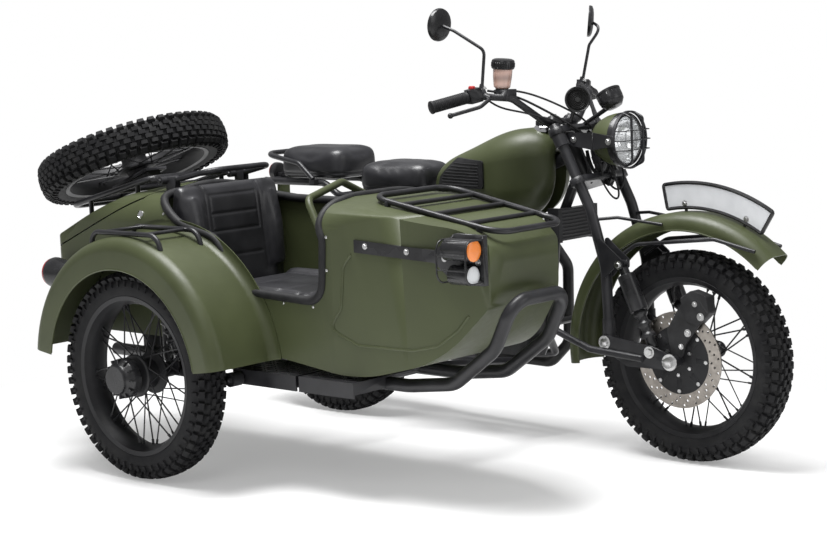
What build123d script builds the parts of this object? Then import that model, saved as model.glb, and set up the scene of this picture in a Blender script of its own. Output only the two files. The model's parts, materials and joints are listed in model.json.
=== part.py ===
from build123d import *

import os
from math import cos, radians, sin

# A motorcycle with a one-seat sidecar on its right, in millimetres. It is modelled with X forward,
# Y to the left and Z up, from the point on the ground under the front axle, and is moved at the end
# so that the origin lies on the ground under the middle of the whole.

# ---- driving dimensions -----------------------------------------------------------------------
WHEELBASE = 1490
SIDECAR_WHEEL_X = -1289
TYRE_RADIUS = 327
TYRE_HALF_WIDTH = 56
RIM_RADIUS = 246
HUB_HALF_WIDTH = 62
AXLE_RADIUS = 10
RUNNING_FIT = 0.06
SEAT_GAP = 0.3

# steering: the axis leans back by the rake, through a point in the head
RAKE = 27
HEAD_X = -455.5
HEAD_Z = 985
HEAD_TUBE_TOP = 2
HEAD_TUBE_BOTTOM = 148
YOKE_THICKNESS = 20
FORK_OFFSET = 45
LEG_Y = 110
LEG_RADIUS = 17
LINK_PIVOT = (-237, 369)
DAMPER_TOP = (-185, 611)
DAMPER_FOOT = (-72, 352)
LINK_PLATE_Y = 131

# sidecar tub
TUB_MIDDLE = -685
TUB_HALF_WIDTH = 265
NEAR_WALL = TUB_MIDDLE - TUB_HALF_WIDTH
FAR_WALL = TUB_MIDDLE + TUB_HALF_WIDTH
WHEEL_BESIDE_TUB = 142
SIDECAR_TRACK = WHEEL_BESIDE_TUB - NEAR_WALL
TUB_WALL = 5
TUB_TAIL = -1890
TUB_NOSE = -82
TUB_FLOOR = 357
DECK_CREST = 872
COCKPIT_FRONT = -660
BULKHEAD_X = -1468
SILL_HEIGHT = 580
LID_FRONT = -1452
LID_GAP = 5
LID_HINGE = (-1446, 898)

# sidecar chassis
RAIL_HEIGHT = 325
RAIL_RADIUS = 20
NEAR_RAIL_Y = TUB_MIDDLE - 125
FAR_RAIL_Y = TUB_MIDDLE + 115
CROSSBAR_RADIUS = 16
STRUT_RADIUS = 14
UPRIGHT_Y = NEAR_WALL - 13
ARM_Y = NEAR_WALL - 50
ARM_PIVOT_X = -985
SIDE_DAMPER_TOP = (-1330, 612)
SIDE_DAMPER_FOOT = (-1230, 376)

# spare wheel on the lid
SPARE_PLACE = (-1790, TUB_MIDDLE + 20, 948)
SPARE_TILT = 21

UPWARD = (Align.CENTER, Align.CENTER, Align.MIN)
nodes = {}


# ---- ways of making shapes --------------------------------------------------------------------
def tube(points, radius, bends):
    """A round bar along straight runs joined by arcs."""
    path = FilletPolyline(*points, radius=bends) if len(points) > 2 else Line(*points)
    return sweep(Plane(origin=path @ 0, z_dir=path % 0) * Circle(radius), path=path)


def rod(start, end, radius):
    """A straight round bar from one point to another."""
    run = Vector(*end) - Vector(*start)
    place = Plane(origin=start, z_dir=run)
    return place * Cylinder(radius, run.length, align=UPWARD)


def block(x, y, z):
    """A box between pairs of limits along X, Y and Z."""
    middle = Pos((x[0] + x[1]) / 2, (y[0] + y[1]) / 2, (z[0] + z[1]) / 2)
    return middle * Box(abs(x[1] - x[0]), abs(y[1] - y[0]), abs(z[1] - z[0]))


def side_face(corners, bends=0):
    """A face drawn in X and Z, its corners rounded."""
    if bends:
        return make_face(FilletPolyline(*corners, radius=bends, close=True))
    return make_face(Polyline(*corners, close=True))


def side_plate(corners, y_high, y_low, bends=0):
    """A plate whose outline is drawn in X and Z, between two values of Y."""
    return extrude(Plane.XZ.offset(-y_high) * side_face(corners, bends), amount=y_high - y_low)


def both_sides(shape):
    """The shape and its mirror image across the motorcycle's middle plane."""
    return shape + mirror(shape, about=Plane.XZ)


def turned(corners, place=(0, 0, 0), arc=360, start=0):
    """A ring about a Y axis, from corners given as (distance along Y, radius)."""
    face = Plane(origin=(0, 0, 0), x_dir=(0, 1, 0), z_dir=(0, 0, 1)) * make_face(
        Polyline(*[(along, -radius) for along, radius in corners], close=True)
    )
    return Pos(*place) * Rot(0, start, 0) * revolve(face, axis=Axis.Y, revolution_arc=arc)


def knob(profile):
    """A round solid about the Z axis, from corners given as (radius, height)."""
    return revolve(make_face(Polyline(*[(r, 0, h) for r, h in profile], close=True)), axis=Axis.Z)


def nut(x, y, z, across, thick):
    """A hexagon nut on a Y axis, standing out from y away from the middle plane."""
    outward = 1 if y > 0 else -1
    place = Plane(origin=(x, y, z), x_dir=(1, 0, 0), z_dir=(0, outward, 0))
    return extrude(place * RegularPolygon(across / 2, 6), amount=thick)


# ---- steering geometry ------------------------------------------------------------------------
AXIS_DOWN = Vector(sin(radians(RAKE)), 0, -cos(radians(RAKE)))
AXIS_AHEAD = Vector(cos(radians(RAKE)), 0, sin(radians(RAKE)))


def head_point(down, ahead=0.0, left=0.0):
    """A point given by its distance down the steering axis, ahead of it and to the left."""
    place = Vector(HEAD_X, 0, HEAD_Z) + AXIS_DOWN * down + AXIS_AHEAD * ahead
    return (place.X, left, place.Z)


def head_plane(down):
    """A plane square to the steering axis, its x ahead and its y to the left."""
    return Plane(origin=head_point(down), x_dir=AXIS_AHEAD, z_dir=AXIS_DOWN * -1)


# ---- wheels -----------------------------------------------------------------------------------
SPOKES_A_SIDE = 18
SPOKE_SIZE = 4
SPOKE_LEAD = 48
HUB_FLANGE_RADIUS = 58
FRONT_AXLE = (0, 0, TYRE_RADIUS)
REAR_AXLE = (-WHEELBASE, 0, TYRE_RADIUS)
SIDE_AXLE = (SIDECAR_WHEEL_X, -SIDECAR_TRACK, TYRE_RADIUS)
AXLE_COLLAR_RADIUS = 17
DISC_RADIUS = 148
DISC_Y = -80
DISC_THICKNESS = 5
SPROCKET_RADIUS = 92
CHAIN_Y = 76
CHAIN_WIDTH = 16


def tyre():
    """A tyre about the Y axis through the origin: crown, shoulders and walls down to the bead."""
    bead = RIM_RADIUS - 8
    shoulder = TYRE_RADIUS - 30
    half = ((34, TYRE_RADIUS), (TYRE_HALF_WIDTH, shoulder), (42, bead))
    left_side = [(-along, radius) for along, radius in reversed(half)]
    return turned([*half, *left_side])


def spoked_wheel(bore):
    """Rim, hub and crossed spokes about the Y axis through the origin."""
    bed, rim_inside = RIM_RADIUS - 8 - SEAT_GAP, RIM_RADIUS - 24
    rim = turned(((-46, bed), (46, bed), (34, rim_inside), (-34, rim_inside)))
    drum = HUB_FLANGE_RADIUS + 8
    hub = turned(
        (
            (-HUB_HALF_WIDTH, bore),
            (HUB_HALF_WIDTH, bore),
            (HUB_HALF_WIDTH, 36),
            (40, drum),
            (-40, drum),
            (-HUB_HALF_WIDTH, 36),
        )
    )
    spokes = []
    for side in (-1, 1):
        for count in range(SPOKES_A_SIDE):
            lead = SPOKE_LEAD if count % 2 else -SPOKE_LEAD
            at_hub = radians(360 / SPOKES_A_SIDE * (count + 0.25 * side))
            at_rim = at_hub + radians(lead)
            start = Vector(HUB_FLANGE_RADIUS * cos(at_hub), 34 * side, HUB_FLANGE_RADIUS * sin(at_hub))
            end = Vector((rim_inside + 6) * cos(at_rim), 10 * side, (rim_inside + 6) * sin(at_rim))
            bar = Box(SPOKE_SIZE, SPOKE_SIZE, (end - start).length, align=UPWARD)
            spokes.append(Plane(origin=start, z_dir=end - start) * bar)
    return (rim + hub).fuse(*spokes)


def brake_disc():
    """A drilled ring on its carrier, bolted to the right of the front hub."""
    outer, inner = DISC_Y - DISC_THICKNESS, DISC_Y
    seat = -HUB_HALF_WIDTH - SEAT_GAP
    section = ((outer, 24), (outer, DISC_RADIUS), (inner, DISC_RADIUS), (inner, 70), (seat, 36), (seat, 24))
    disc = turned(section)
    holes = []
    for count in range(16):
        pitch = 118 if count % 2 else 132
        holes.append(Rot(0, 360 / 16 * count, 0) * rod((pitch, inner + 5, 0), (pitch, outer - 5, 0), 4.5))
    return disc.cut(*holes)


def sprocket():
    """The rear wheel's sprocket as a plain disc, stepped off the hub."""
    left, right = CHAIN_Y + 3, CHAIN_Y - 3
    section = (
        (HUB_HALF_WIDTH, 24),
        (left, 24),
        (left, SPROCKET_RADIUS),
        (right, SPROCKET_RADIUS),
        (right, 40),
        (HUB_HALF_WIDTH, 40),
    )
    return turned(section)


def hub_cap():
    """The round cap over the outer end of the sidecar hub."""
    end = -HUB_HALF_WIDTH
    return turned(((end, 0), (end, 62), (end - 30, 62), (end - 44, 48), (end - 58, 44), (end - 58, 0)))


plain_tyre = tyre()
plain_wheel = spoked_wheel(AXLE_RADIUS + RUNNING_FIT)
nodes["front_tyre"] = Pos(*FRONT_AXLE) * plain_tyre
nodes["front_wheel"] = Pos(*FRONT_AXLE) * plain_wheel
nodes["front_brake_disc"] = Pos(*FRONT_AXLE) * brake_disc()
nodes["rear_tyre"] = Pos(*REAR_AXLE) * plain_tyre
nodes["rear_wheel"] = Pos(*REAR_AXLE) * (plain_wheel + sprocket())
nodes["sidecar_tyre"] = Pos(*SIDE_AXLE) * plain_tyre
nodes["sidecar_wheel"] = Pos(*SIDE_AXLE) * (plain_wheel + hub_cap())
spare_turn = Pos(*SPARE_PLACE) * Rot(0, -SPARE_TILT, 0) * Rot(90, 0, 0)
nodes["spare_tyre"] = spare_turn * plain_tyre
nodes["spare_wheel"] = spare_turn * plain_wheel


# ---- fork and what steers with it ----------------------------------------------------------------
LEG_BEND = 258
CLEVIS_OFFSET = 19
EYE_PIN_RADIUS = 7
STEM_RADIUS = 14


def fork():
    """Two legs in two yokes on a stem, bent down to the link pivots, with damper clevises."""
    leg_path = (
        head_point(-34, FORK_OFFSET, LEG_Y),
        head_point(LEG_BEND, FORK_OFFSET, LEG_Y),
        (-246, LEG_Y, 600),
        (LINK_PIVOT[0], LEG_Y, LINK_PIVOT[1]),
    )
    leg = tube(leg_path, LEG_RADIUS, 160)
    leg += rod((-239.5, LEG_Y, 440), (-237.2, LEG_Y, 374), 20)
    pivot_x, pivot_z = LINK_PIVOT
    top_x, top_z = DAMPER_TOP
    leg += rod((pivot_x, LEG_Y - 20, pivot_z), (pivot_x, LEG_Y + 20, pivot_z), 25)
    clevis = ((-262, 700), (-214, 660), (-171, 627), (-171, 597), (-200, 602), (-244, 560))
    for middle in (LEG_Y - CLEVIS_OFFSET, LEG_Y + CLEVIS_OFFSET):
        leg += side_plate(clevis, middle + 2.5, middle - 2.5, bends=8)
    leg += rod((top_x, LEG_Y - 22, top_z), (top_x, LEG_Y + 22, top_z), EYE_PIN_RADIUS)
    leg -= rod((pivot_x, 0, pivot_z), (pivot_x, 2 * LEG_Y, pivot_z), EYE_PIN_RADIUS)
    legs = both_sides(leg)
    yokes = []
    for lower_face in (0, HEAD_TUBE_BOTTOM + 2 + YOKE_THICKNESS):
        around_legs = CenterArc((0, 0), LEG_RADIUS + 9, 0, 360)
        sockets = [Pos(FORK_OFFSET, side * LEG_Y) * around_legs for side in (-1, 1)]
        outline = make_hull([*sockets, CenterArc((0, 0), STEM_RADIUS + 12, 0, 360)])
        yokes.append(extrude(head_plane(lower_face) * make_face(outline), amount=YOKE_THICKNESS))
    stem = rod(head_point(-8), head_point(HEAD_TUBE_BOTTOM + YOKE_THICKNESS), STEM_RADIUS)
    return legs + yokes[0] + yokes[1] + stem


nodes["fork"] = fork()

HANDLE_CLAMP = head_point(-62, 2)
BAR_RADIUS = 11


def handlebar():
    """The bar in its two clamps, with grips, levers, switch boxes and the fluid reservoir."""
    x0, z0 = HANDLE_CLAMP[0], HANDLE_CLAMP[2]
    half_path = ((x0, 0, z0), (x0, -85, z0), (-520, -205, 1124), (-606, -290, 1136), (-664, -415, 1108))
    whole_path = [*reversed(half_path[1:]), *[(x, -y, z) for x, y, z in half_path[1:]]]
    bar = tube(whole_path, BAR_RADIUS, (45, 45, 45, 45, 45, 45))
    grip_run = Vector(*half_path[4]) - Vector(*half_path[3])
    along = grip_run.normalized()
    end = Vector(*half_path[4]) + along * 4
    grip = rod(tuple(end - along * 122), tuple(end), 17)
    box_place = Plane(origin=tuple(end - along * 148), z_dir=along)
    box = box_place * Box(40, 44, 40)
    lever_path = (
        tuple(end - along * 176 + Vector(34, 0, -16)),
        tuple(end - along * 120 + Vector(58, 0, -28)),
        tuple(end - along * 20 + Vector(52, 0, -30)),
    )
    lever = tube(lever_path, 6, 40) + Pos(*lever_path[2]) * Sphere(9)
    perch = rod(tuple(end - along * 184), tuple(end - along * 170), 19)
    perch += rod(tuple(end - along * 177), lever_path[0], 10)
    side = grip + box + lever + perch
    risers = rod(head_point(-YOKE_THICKNESS, 2, 45), (x0, 45, z0), 13) + rod((x0, 30, z0), (x0, 60, z0), 20)
    cup_up = (0.1, 0, 1)
    cup = Plane(origin=(-556, -208, 1150), z_dir=cup_up) * Cylinder(20, 80, align=UPWARD)
    lid = Plane(origin=(-548, -208, 1229), z_dir=cup_up) * Cylinder(24, 16, align=UPWARD)
    master = block((-570, -520), (-230, -180), (1122, 1152))
    return bar + both_sides(side) + both_sides(risers) + cup + lid + master


nodes["handlebar"] = handlebar()


def mirrors():
    """Two round mirrors on bent stems, standing on the lever perches."""
    # stem points: side of the bar, bend, back of the disc
    stems = (
        ((-592, -262, 1152), (-577, -262, 1275), (-672, -292, 1338), (-716, -306, 1358)),
        ((-592, 262, 1152), (-560, 262, 1275), (-520, 275, 1330), (-580, 300, 1352)),
    )
    pair = []
    for stem in stems:
        head = Plane(origin=stem[3], z_dir=(-1, 0, 0.12))
        disc = head * Cylinder(52, 16)
        pair.append(tube(stem, 5, (30, 24)) + disc)
    return pair[0] + pair[1] - nodes["handlebar"]


nodes["mirrors"] = mirrors()

LAMP_X, LAMP_Z, LAMP_RADIUS = -236, 985, 84


def headlamp():
    """A round bowl with its rim and glass, held by ears on the fork legs."""
    bowl = ((0, -112), (34, -108), (64, -80), (78, -40), (LAMP_RADIUS, -14))
    glass = ((LAMP_RADIUS, 6), (72, 8), (40, 15), (0, 18))
    upright = Plane(origin=(LAMP_X, 0, LAMP_Z), x_dir=(0, 0, 1), z_dir=(0, 1, 0))
    outline = upright * make_face(Polyline(*bowl, *glass, close=True))
    return revolve(outline, axis=Axis((LAMP_X, 0, LAMP_Z), (1, 0, 0)))


nodes["headlamp"] = headlamp()


def lamp_guard():
    """Ears on the legs, a ring round the lamp's rim, two upright bars and three cross wires."""
    ring_x = LAMP_X + 12
    guard_radius = LAMP_RADIUS + 6
    hoop = Cylinder(guard_radius, 10) - Cylinder(LAMP_RADIUS + SEAT_GAP, 10)
    shapes = [Plane(origin=(ring_x, 0, LAMP_Z), z_dir=(1, 0, 0)) * hoop]
    front_x = ring_x + 30
    for y in (-30, 30):
        high = (guard_radius**2 - y**2) ** 0.5 - 2
        half = ((ring_x, y, high), (front_x, y, high - 14))
        points = [(x, y, LAMP_Z - z) for x, y, z in half] + [(x, y, LAMP_Z + z) for x, y, z in reversed(half)]
        shapes.append(tube(points, 4, 12))
    for z in (LAMP_Z - 30, LAMP_Z, LAMP_Z + 30):
        wide = (guard_radius**2 - (z - LAMP_Z) ** 2) ** 0.5 - 2
        half = ((ring_x, wide, z), (front_x, wide - 16, z))
        points = [(x, -y, z) for x, y, z in half] + [(x, y, z) for x, y, z in reversed(half)]
        shapes.append(tube(points, 1.6, 10))
    ear_outline = ((-405, 1010), (-300, 1012), (-220, 1000), (-220, 970), (-300, 958), (-390, 972))
    ear = side_plate(ear_outline, guard_radius + 0.2, guard_radius - 3.8, bends=8)
    clamp = rod(head_point(4, FORK_OFFSET, LEG_Y), head_point(40, FORK_OFFSET, LEG_Y), LEG_RADIUS + 6)
    shapes.append(both_sides(ear + clamp))
    return shapes[0].fuse(*shapes[1:]) - nodes["fork"]


nodes["lamp_guard"] = lamp_guard()


def speedometer():
    """A round case over the headlamp, its dial facing the rider."""
    place = Plane(origin=(-300, 12, 1112), z_dir=(-0.5, 0, 0.86))
    profile = ((0, -34), (26, -30), (38, -14), (40, 0), (40, 22), (0, 22))
    stalk = rod(head_point(-YOKE_THICKNESS + 4, FORK_OFFSET - 8, 12), (-294, 12, 1092), 7)
    return place * knob(profile) + stalk - nodes["fork"]


nodes["speedometer"] = speedometer()


def horn():
    """A round horn with a ringed face, ahead of the bar on the right."""
    place = Plane(origin=(-372, -66, 1112), z_dir=(0.78, -0.6, 0.15))
    bowl = ((0, -24), (24, -22), (38, -8), (40, 4))
    rings = ((33, 4), (33, 0), (26, 0), (26, 4), (18, 4), (18, 0), (0, 0))
    stalk = rod(head_point(-YOKE_THICKNESS + 4, FORK_OFFSET - 8, -66), (-380, -60, 1100), 6)
    return place * knob((*bowl, *rings)) + stalk - nodes["fork"]


nodes["horn"] = horn()

GUARD_RADIUS = 443
GUARD_HALF_WIDTH = 68
SHEET = 3


def wheel_guard(radius, half_width, depth, bend, first, last):
    """An arched sheet about a Y axis, from one angle to another, both up from ahead."""
    lip = radius - depth
    lines = []
    for inset in (0, SHEET):
        half, crown = half_width - inset, radius - inset
        corners = ((-half, -lip), (-half, -crown), (half, -crown), (half, -lip))
        lines.append(FilletPolyline(*corners, radius=bend - inset))
    outer, inner = lines
    ends = [Line(outer @ 0, inner @ 0), Line(outer @ 1, inner @ 1)]
    across = Plane(origin=(0, 0, 0), x_dir=(0, 1, 0), z_dir=(0, 0, 1))
    face = across * make_face([*outer.edges(), *inner.edges(), *ends])
    # the face lies ahead and sweeps downwards, so it is first turned up to the last angle
    return Rot(0, -last, 0) * revolve(face, axis=Axis.Y, revolution_arc=last - first)


nodes["front_mudguard"] = Pos(*FRONT_AXLE) * wheel_guard(GUARD_RADIUS, GUARD_HALF_WIDTH, 52, 40, 47, 187)


def number_plate():
    """A blank upright plate curved like the mudguard that it stands on, with its two feet."""
    inner, outer = GUARD_RADIUS + 12, GUARD_RADIUS + 88
    first, last = 58, 101
    corners = []
    for radius, angles in ((inner, (first, last)), (outer, (last, first))):
        corners.append([(radius * cos(radians(a)), FRONT_AXLE[2] + radius * sin(radians(a))) for a in angles])
    (low_front, low_rear), (high_rear, high_front) = corners
    middle = radians((first + last) / 2)
    low_middle, high_middle = [(r * cos(middle), FRONT_AXLE[2] + r * sin(middle)) for r in (inner, outer)]
    low_arc = ThreePointArc(low_front, low_middle, low_rear)
    high_arc = ThreePointArc(high_rear, high_middle, high_front)
    face = make_face([low_arc, Line(low_rear, high_rear), high_arc, Line(high_front, low_front)])
    plate = extrude(Plane.XZ.offset(-2) * face, amount=4)
    feet = []
    for angle in (radians(first + 8), radians(last - 8)):
        ends = (GUARD_RADIUS + SEAT_GAP, inner + 16)
        low, high = [(r * cos(angle), 5, FRONT_AXLE[2] + r * sin(angle)) for r in ends]
        feet.append(rod(low, high, 5))
    return plate + feet[0] + feet[1]


nodes["number_plate"] = number_plate()


def mudguard_stays():
    """Two long stays forward to the tip of the mudguard and two short braces down to its crown."""
    beside_clevis = LEG_Y - CLEVIS_OFFSET - 2.5 - 6
    long_path = (
        (-232, beside_clevis, 618),
        (-150, beside_clevis, 672),
        (130, GUARD_HALF_WIDTH + 16, 700),
        (262, GUARD_HALF_WIDTH + 6, 668),
    )
    long_stay = tube(long_path, 6, (60, 60))
    brace = tube(((-286, LEG_Y - 2, 745), (-215, 86, 752), (-60, GUARD_HALF_WIDTH + 5, 735)), 5, 24)
    return both_sides(long_stay) + both_sides(brace) - nodes["fork"]


nodes["mudguard_stays"] = mudguard_stays()


def front_link():
    """The leading link: side plates from pivot to axle, the loop behind the wheel, and the axle."""
    px, pz = LINK_PIVOT
    ax, az = FRONT_AXLE[0], FRONT_AXLE[2]
    fx, fz = DAMPER_FOOT
    rounds = ((px, pz, 22), (ax, az, 24), (fx, fz, 20), (-150, 322, 20))
    outline = make_hull([Pos(x, z) * CenterArc((0, 0), radius, 0, 360) for x, z, radius in rounds])
    plate = extrude(Plane.XZ.offset(-(LINK_PLATE_Y + 8)) * make_face(outline), amount=8)
    plate += rod((fx, LEG_Y + 8, fz), (fx, LINK_PLATE_Y, fz), 12)
    plate += rod((fx, LEG_Y - 9, fz), (fx, LEG_Y + 9, fz), EYE_PIN_RADIUS)
    plate += rod((px, LEG_Y - 22, pz), (px, LINK_PLATE_Y + 14, pz), EYE_PIN_RADIUS - RUNNING_FIT)
    plate += nut(fx, LINK_PLATE_Y + 8, fz, 22, 6) + nut(px, LINK_PLATE_Y + 8, pz, 26, 8)
    plate += rod((ax, HUB_HALF_WIDTH + 8, az), (ax, LINK_PLATE_Y, az), AXLE_COLLAR_RADIUS)
    loop_y = LINK_PLATE_Y + 11
    half_loop = ((-95, loop_y, 331), (-290, loop_y, 345), (-400, 116, 372), (-500, 90, 398))
    other_half = [(x, -y, z) for x, y, z in reversed(half_loop)]
    loop = tube((*half_loop, *other_half), 11, (60, 60, 55, 55, 60, 60))
    axle = rod((ax, -LINK_PLATE_Y - 8, az), (ax, LINK_PLATE_Y + 8, az), AXLE_RADIUS)
    nuts = nut(ax, LINK_PLATE_Y + 8, az, 30, 14) + nut(ax, -LINK_PLATE_Y - 8, az, 30, 14)
    return both_sides(plate) + loop + axle + nuts


nodes["front_link"] = front_link()


def damper(top, foot, y, eye=16, body=15, coil=24):
    """A spring damper between two eyes, its coils drawn as ridges."""
    start, end = Vector(top[0], y, top[1]), Vector(foot[0], y, foot[1])
    run = end - start
    length = run.length
    place = Plane(origin=start, x_dir=(0, 1, 0), z_dir=run)
    rings = 5
    first, last = 58, length - 52
    pitch = (last - first) / rings
    profile = [(0, 12), (body, 12), (body, 42), (coil, 42), (coil, first)]
    for count in range(rings):
        here = first + pitch * count
        profile += [(coil - 8, here + pitch * 0.35), (coil - 8, here + pitch * 0.65), (coil, here + pitch)]
    profile += [(coil, last + 8), (body, last + 8), (body, length - 12), (0, length - 12)]
    barrel = place * knob(profile)
    for spot in (start, end):
        side = Vector(0, eye / 2, 0)
        barrel += rod(tuple(spot - side), tuple(spot + side), 14)
    return barrel


def front_dampers():
    """Two dampers from the clevises to the link."""
    one = damper(DAMPER_TOP, DAMPER_FOOT, LEG_Y)
    for x, z in (DAMPER_TOP, DAMPER_FOOT):
        one -= rod((x, 0, z), (x, 2 * LEG_Y, z), EYE_PIN_RADIUS)
    return both_sides(one)


nodes["front_dampers"] = front_dampers()


def brake_caliper():
    """A caliper over the top of the disc, on a plate from the axle."""
    casting = ((40, 448), (20, 520), (60, 545), (112, 530), (122, 480), (80, 440))
    body = side_plate(casting, -66, -106, bends=10)
    outer, inner, deep = DISC_Y - DISC_THICKNESS - 1.5, DISC_Y + 1.5, DISC_RADIUS + 5
    slot = turned(((outer, 20), (outer, deep), (inner, deep), (inner, 20)), FRONT_AXLE)
    arm = ((-16, 345), (-30, 420), (20, 500), (90, 520), (84, 440), (36, 380), (20, 335))
    bracket = side_plate(arm, -95, -103, bends=12)
    bracket -= rod((0, 0, FRONT_AXLE[2]), (0, -200, FRONT_AXLE[2]), AXLE_COLLAR_RADIUS + SEAT_GAP)
    return body - slot + bracket


nodes["brake_caliper"] = brake_caliper()


# ---- motorcycle frame and engine -----------------------------------------------------------------
HEAD_TUBE_RADIUS = 25
BACKBONE_RADIUS = 20
SEAT_RAIL_HEIGHT = 786
REAR_RAIL_HEIGHT = SEAT_RAIL_HEIGHT + 42
SEAT_RAIL_RADIUS = 12
SWING_PIVOT = (-1085, 396)
SHOCK_TOP = (-1392, 772)
SHOCK_FOOT = (-1462, 366)
SHOCK_Y = 136
CRADLE_HEIGHT = 262
FRAME_Y = 98
CROSS_TUBE_XS = (-1378, -1752)
CROSS_TUBE_RADIUS = 10


def motorcycle_frame():
    """Head tube, backbone, down tube, cradle, seat rails and their rear loop."""
    head = rod(head_point(HEAD_TUBE_TOP), head_point(HEAD_TUBE_BOTTOM), HEAD_TUBE_RADIUS)
    backbone = tube((head_point(52), (-640, 0, 862), (-985, 0, 790)), BACKBONE_RADIUS, 220)
    down = tube((head_point(96), (-518, 0, 680), (-553, 0, 372), (-592, 0, 285)), 16, (120, 90))
    shapes = [backbone, down]
    for side in (-1, 1):
        y = FRAME_Y * side
        cradle_path = (
            (-560, 0, CRADLE_HEIGHT + 83),
            (-592, 0.8 * y, CRADLE_HEIGHT + 13),
            (-680, y, CRADLE_HEIGHT),
            (-1020, y, CRADLE_HEIGHT),
            (-1098, y, CRADLE_HEIGHT + 68),
            (-1075, y, 560),
            (-1000, y, SEAT_RAIL_HEIGHT - 4),
        )
        shapes.append(tube(cradle_path, 13, (30, 60, 60, 60, 120)))
        rail_path = (
            (-940, 0.1 * y, SEAT_RAIL_HEIGHT + 10),
            (-1010, y, SEAT_RAIL_HEIGHT),
            (-1380, y, SEAT_RAIL_HEIGHT),
            (-1450, y, REAR_RAIL_HEIGHT),
            (-1700, y, REAR_RAIL_HEIGHT),
            (-1760, 0.8 * y, REAR_RAIL_HEIGHT),
        )
        shapes.append(tube(rail_path, SEAT_RAIL_RADIUS, (60, 60, 60, 30)))
        shapes.append(rod((SHOCK_TOP[0], y, SHOCK_TOP[1]), (SHOCK_TOP[0], side * (SHOCK_Y + 9), SHOCK_TOP[1]), 9))
        shapes.append(rod((-1098, y, 342), (-1098, 1.95 * y, 346), 10))
    for x, z in ((CROSS_TUBE_XS[0], SEAT_RAIL_HEIGHT), (CROSS_TUBE_XS[1], REAR_RAIL_HEIGHT)):
        shapes.append(rod((x, 8 - FRAME_Y, z), (x, FRAME_Y - 8, z), CROSS_TUBE_RADIUS))
    shapes.append(rod((SWING_PIVOT[0], -FRAME_Y, SWING_PIVOT[1]), (SWING_PIVOT[0], FRAME_Y, SWING_PIVOT[1]), 8))
    frame = head.fuse(*shapes)
    bore = rod(head_point(-40), head_point(HEAD_TUBE_BOTTOM + 60), STEM_RADIUS + RUNNING_FIT)
    return frame - bore


nodes["motorcycle_frame"] = motorcycle_frame()


# ---- engine ---------------------------------------------------------------------------------------
CYLINDER_X = -700
CRANKCASE_TOP = 505
BARREL_TOP = 622
HEAD_TOP = 706


def crankcase():
    """The cases, with the round covers of clutch and generator."""
    low = ((-604, 300), (-640, 281), (-1000, 281), (-1058, 330))
    high = ((-1058, 440), (-960, CRANKCASE_TOP), (-630, CRANKCASE_TOP), (-592, 420))
    case = side_plate((*low, *high), 60, -60, bends=22)
    # cover: x, z, radius, from y, to y
    covers = (
        (-868, 388, 84, -60, -104),
        (-868, 388, 60, -104, -114),
        (-760, 392, 74, 60, 100),
        (-760, 392, 50, 100, 108),
    )
    for x, z, radius, near, far in covers:
        case += rod((x, near, z), (x, far, z), radius)
    case += rod((-985, 60, 396), (-985, CHAIN_Y - CHAIN_WIDTH / 2 - 1, 396), 20)
    return case - nodes["motorcycle_frame"]


nodes["crankcase"] = crankcase()


def cylinder():
    """Barrel and head with their cooling fins, and the rocker cover on top."""
    x = CYLINDER_X
    core = rod((x, 0, CRANKCASE_TOP), (x, 0, HEAD_TOP), 50)
    fins = []
    count = 11
    for number in range(count):
        z = CRANKCASE_TOP + 12 + number * (HEAD_TOP - CRANKCASE_TOP - 16) / count
        half = 70 if z < BARREL_TOP else 80
        fins.append(block((x - half, x + half), (-74, 74), (z, z + 5)))
    rocker = block((x - 52, x + 52), (-58, 58), (HEAD_TOP - 20, HEAD_TOP + 26))
    inlet = rod((x - 40, 0, 668), (x - 92, 0, 668), 20)
    port = rod((x + 40, 28, 655), (x + 88, 28, 655), 22)
    return core.fuse(*fins, rocker, inlet, port)


nodes["cylinder"] = cylinder()


def carburettor():
    """Carburettor with its float bowl, and the air box behind it."""
    x = CYLINDER_X - 92
    throat = rod((x, 0, 668), (x - 110, 0, 668), 25)
    bowl = block((x - 75, x - 25), (-32, 32), (612, 700))
    box = side_plate(((-902, 600), (-902, 740), (-1010, 752), (-1046, 600)), 70, -70, bends=14)
    return throat + bowl + box - nodes["motorcycle_frame"]


nodes["carburettor"] = carburettor()


def oil_cooler():
    """A finned cooler across the front of the down tube, with its end tanks and bracket."""
    fins = [block((-466, -430), (-84, 84), (672 + 11 * n, 676 + 11 * n)) for n in range(9)]
    core = block((-462, -434), (-84, 84), (668, 768))
    tanks = [block((-470, -428), (side * 84, side * 104), (664, 772)) for side in (-1, 1)]
    bracket = block((-503, -462), (-11, 11), (705, 735))
    return core.fuse(*fins, *tanks, bracket) - nodes["motorcycle_frame"]


nodes["oil_cooler"] = oil_cooler()


def exhaust():
    """The pipe from the port down the left side and back, with its silencer."""
    x = CYLINDER_X + 88
    down = ((x, 28, 655), (-566, 40, 648), (-562, 118, 560), (-580, 136, 300))
    back = ((-660, 142, 226), (-1100, 172, 226), (-1180, 176, 240))
    pipe = tube((*down, *back), 18, (26, 60, 60, 60, 200))
    start, end = Vector(-1130, 174, 231), Vector(-1720, 192, 330)
    run = end - start
    can = ((0, 0), (19, 0), (40, 70), (40, run.length - 40), (26, run.length), (0, run.length))
    return pipe + Plane(origin=start, z_dir=run) * knob(can) - nodes["cylinder"]


nodes["exhaust"] = exhaust()


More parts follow.
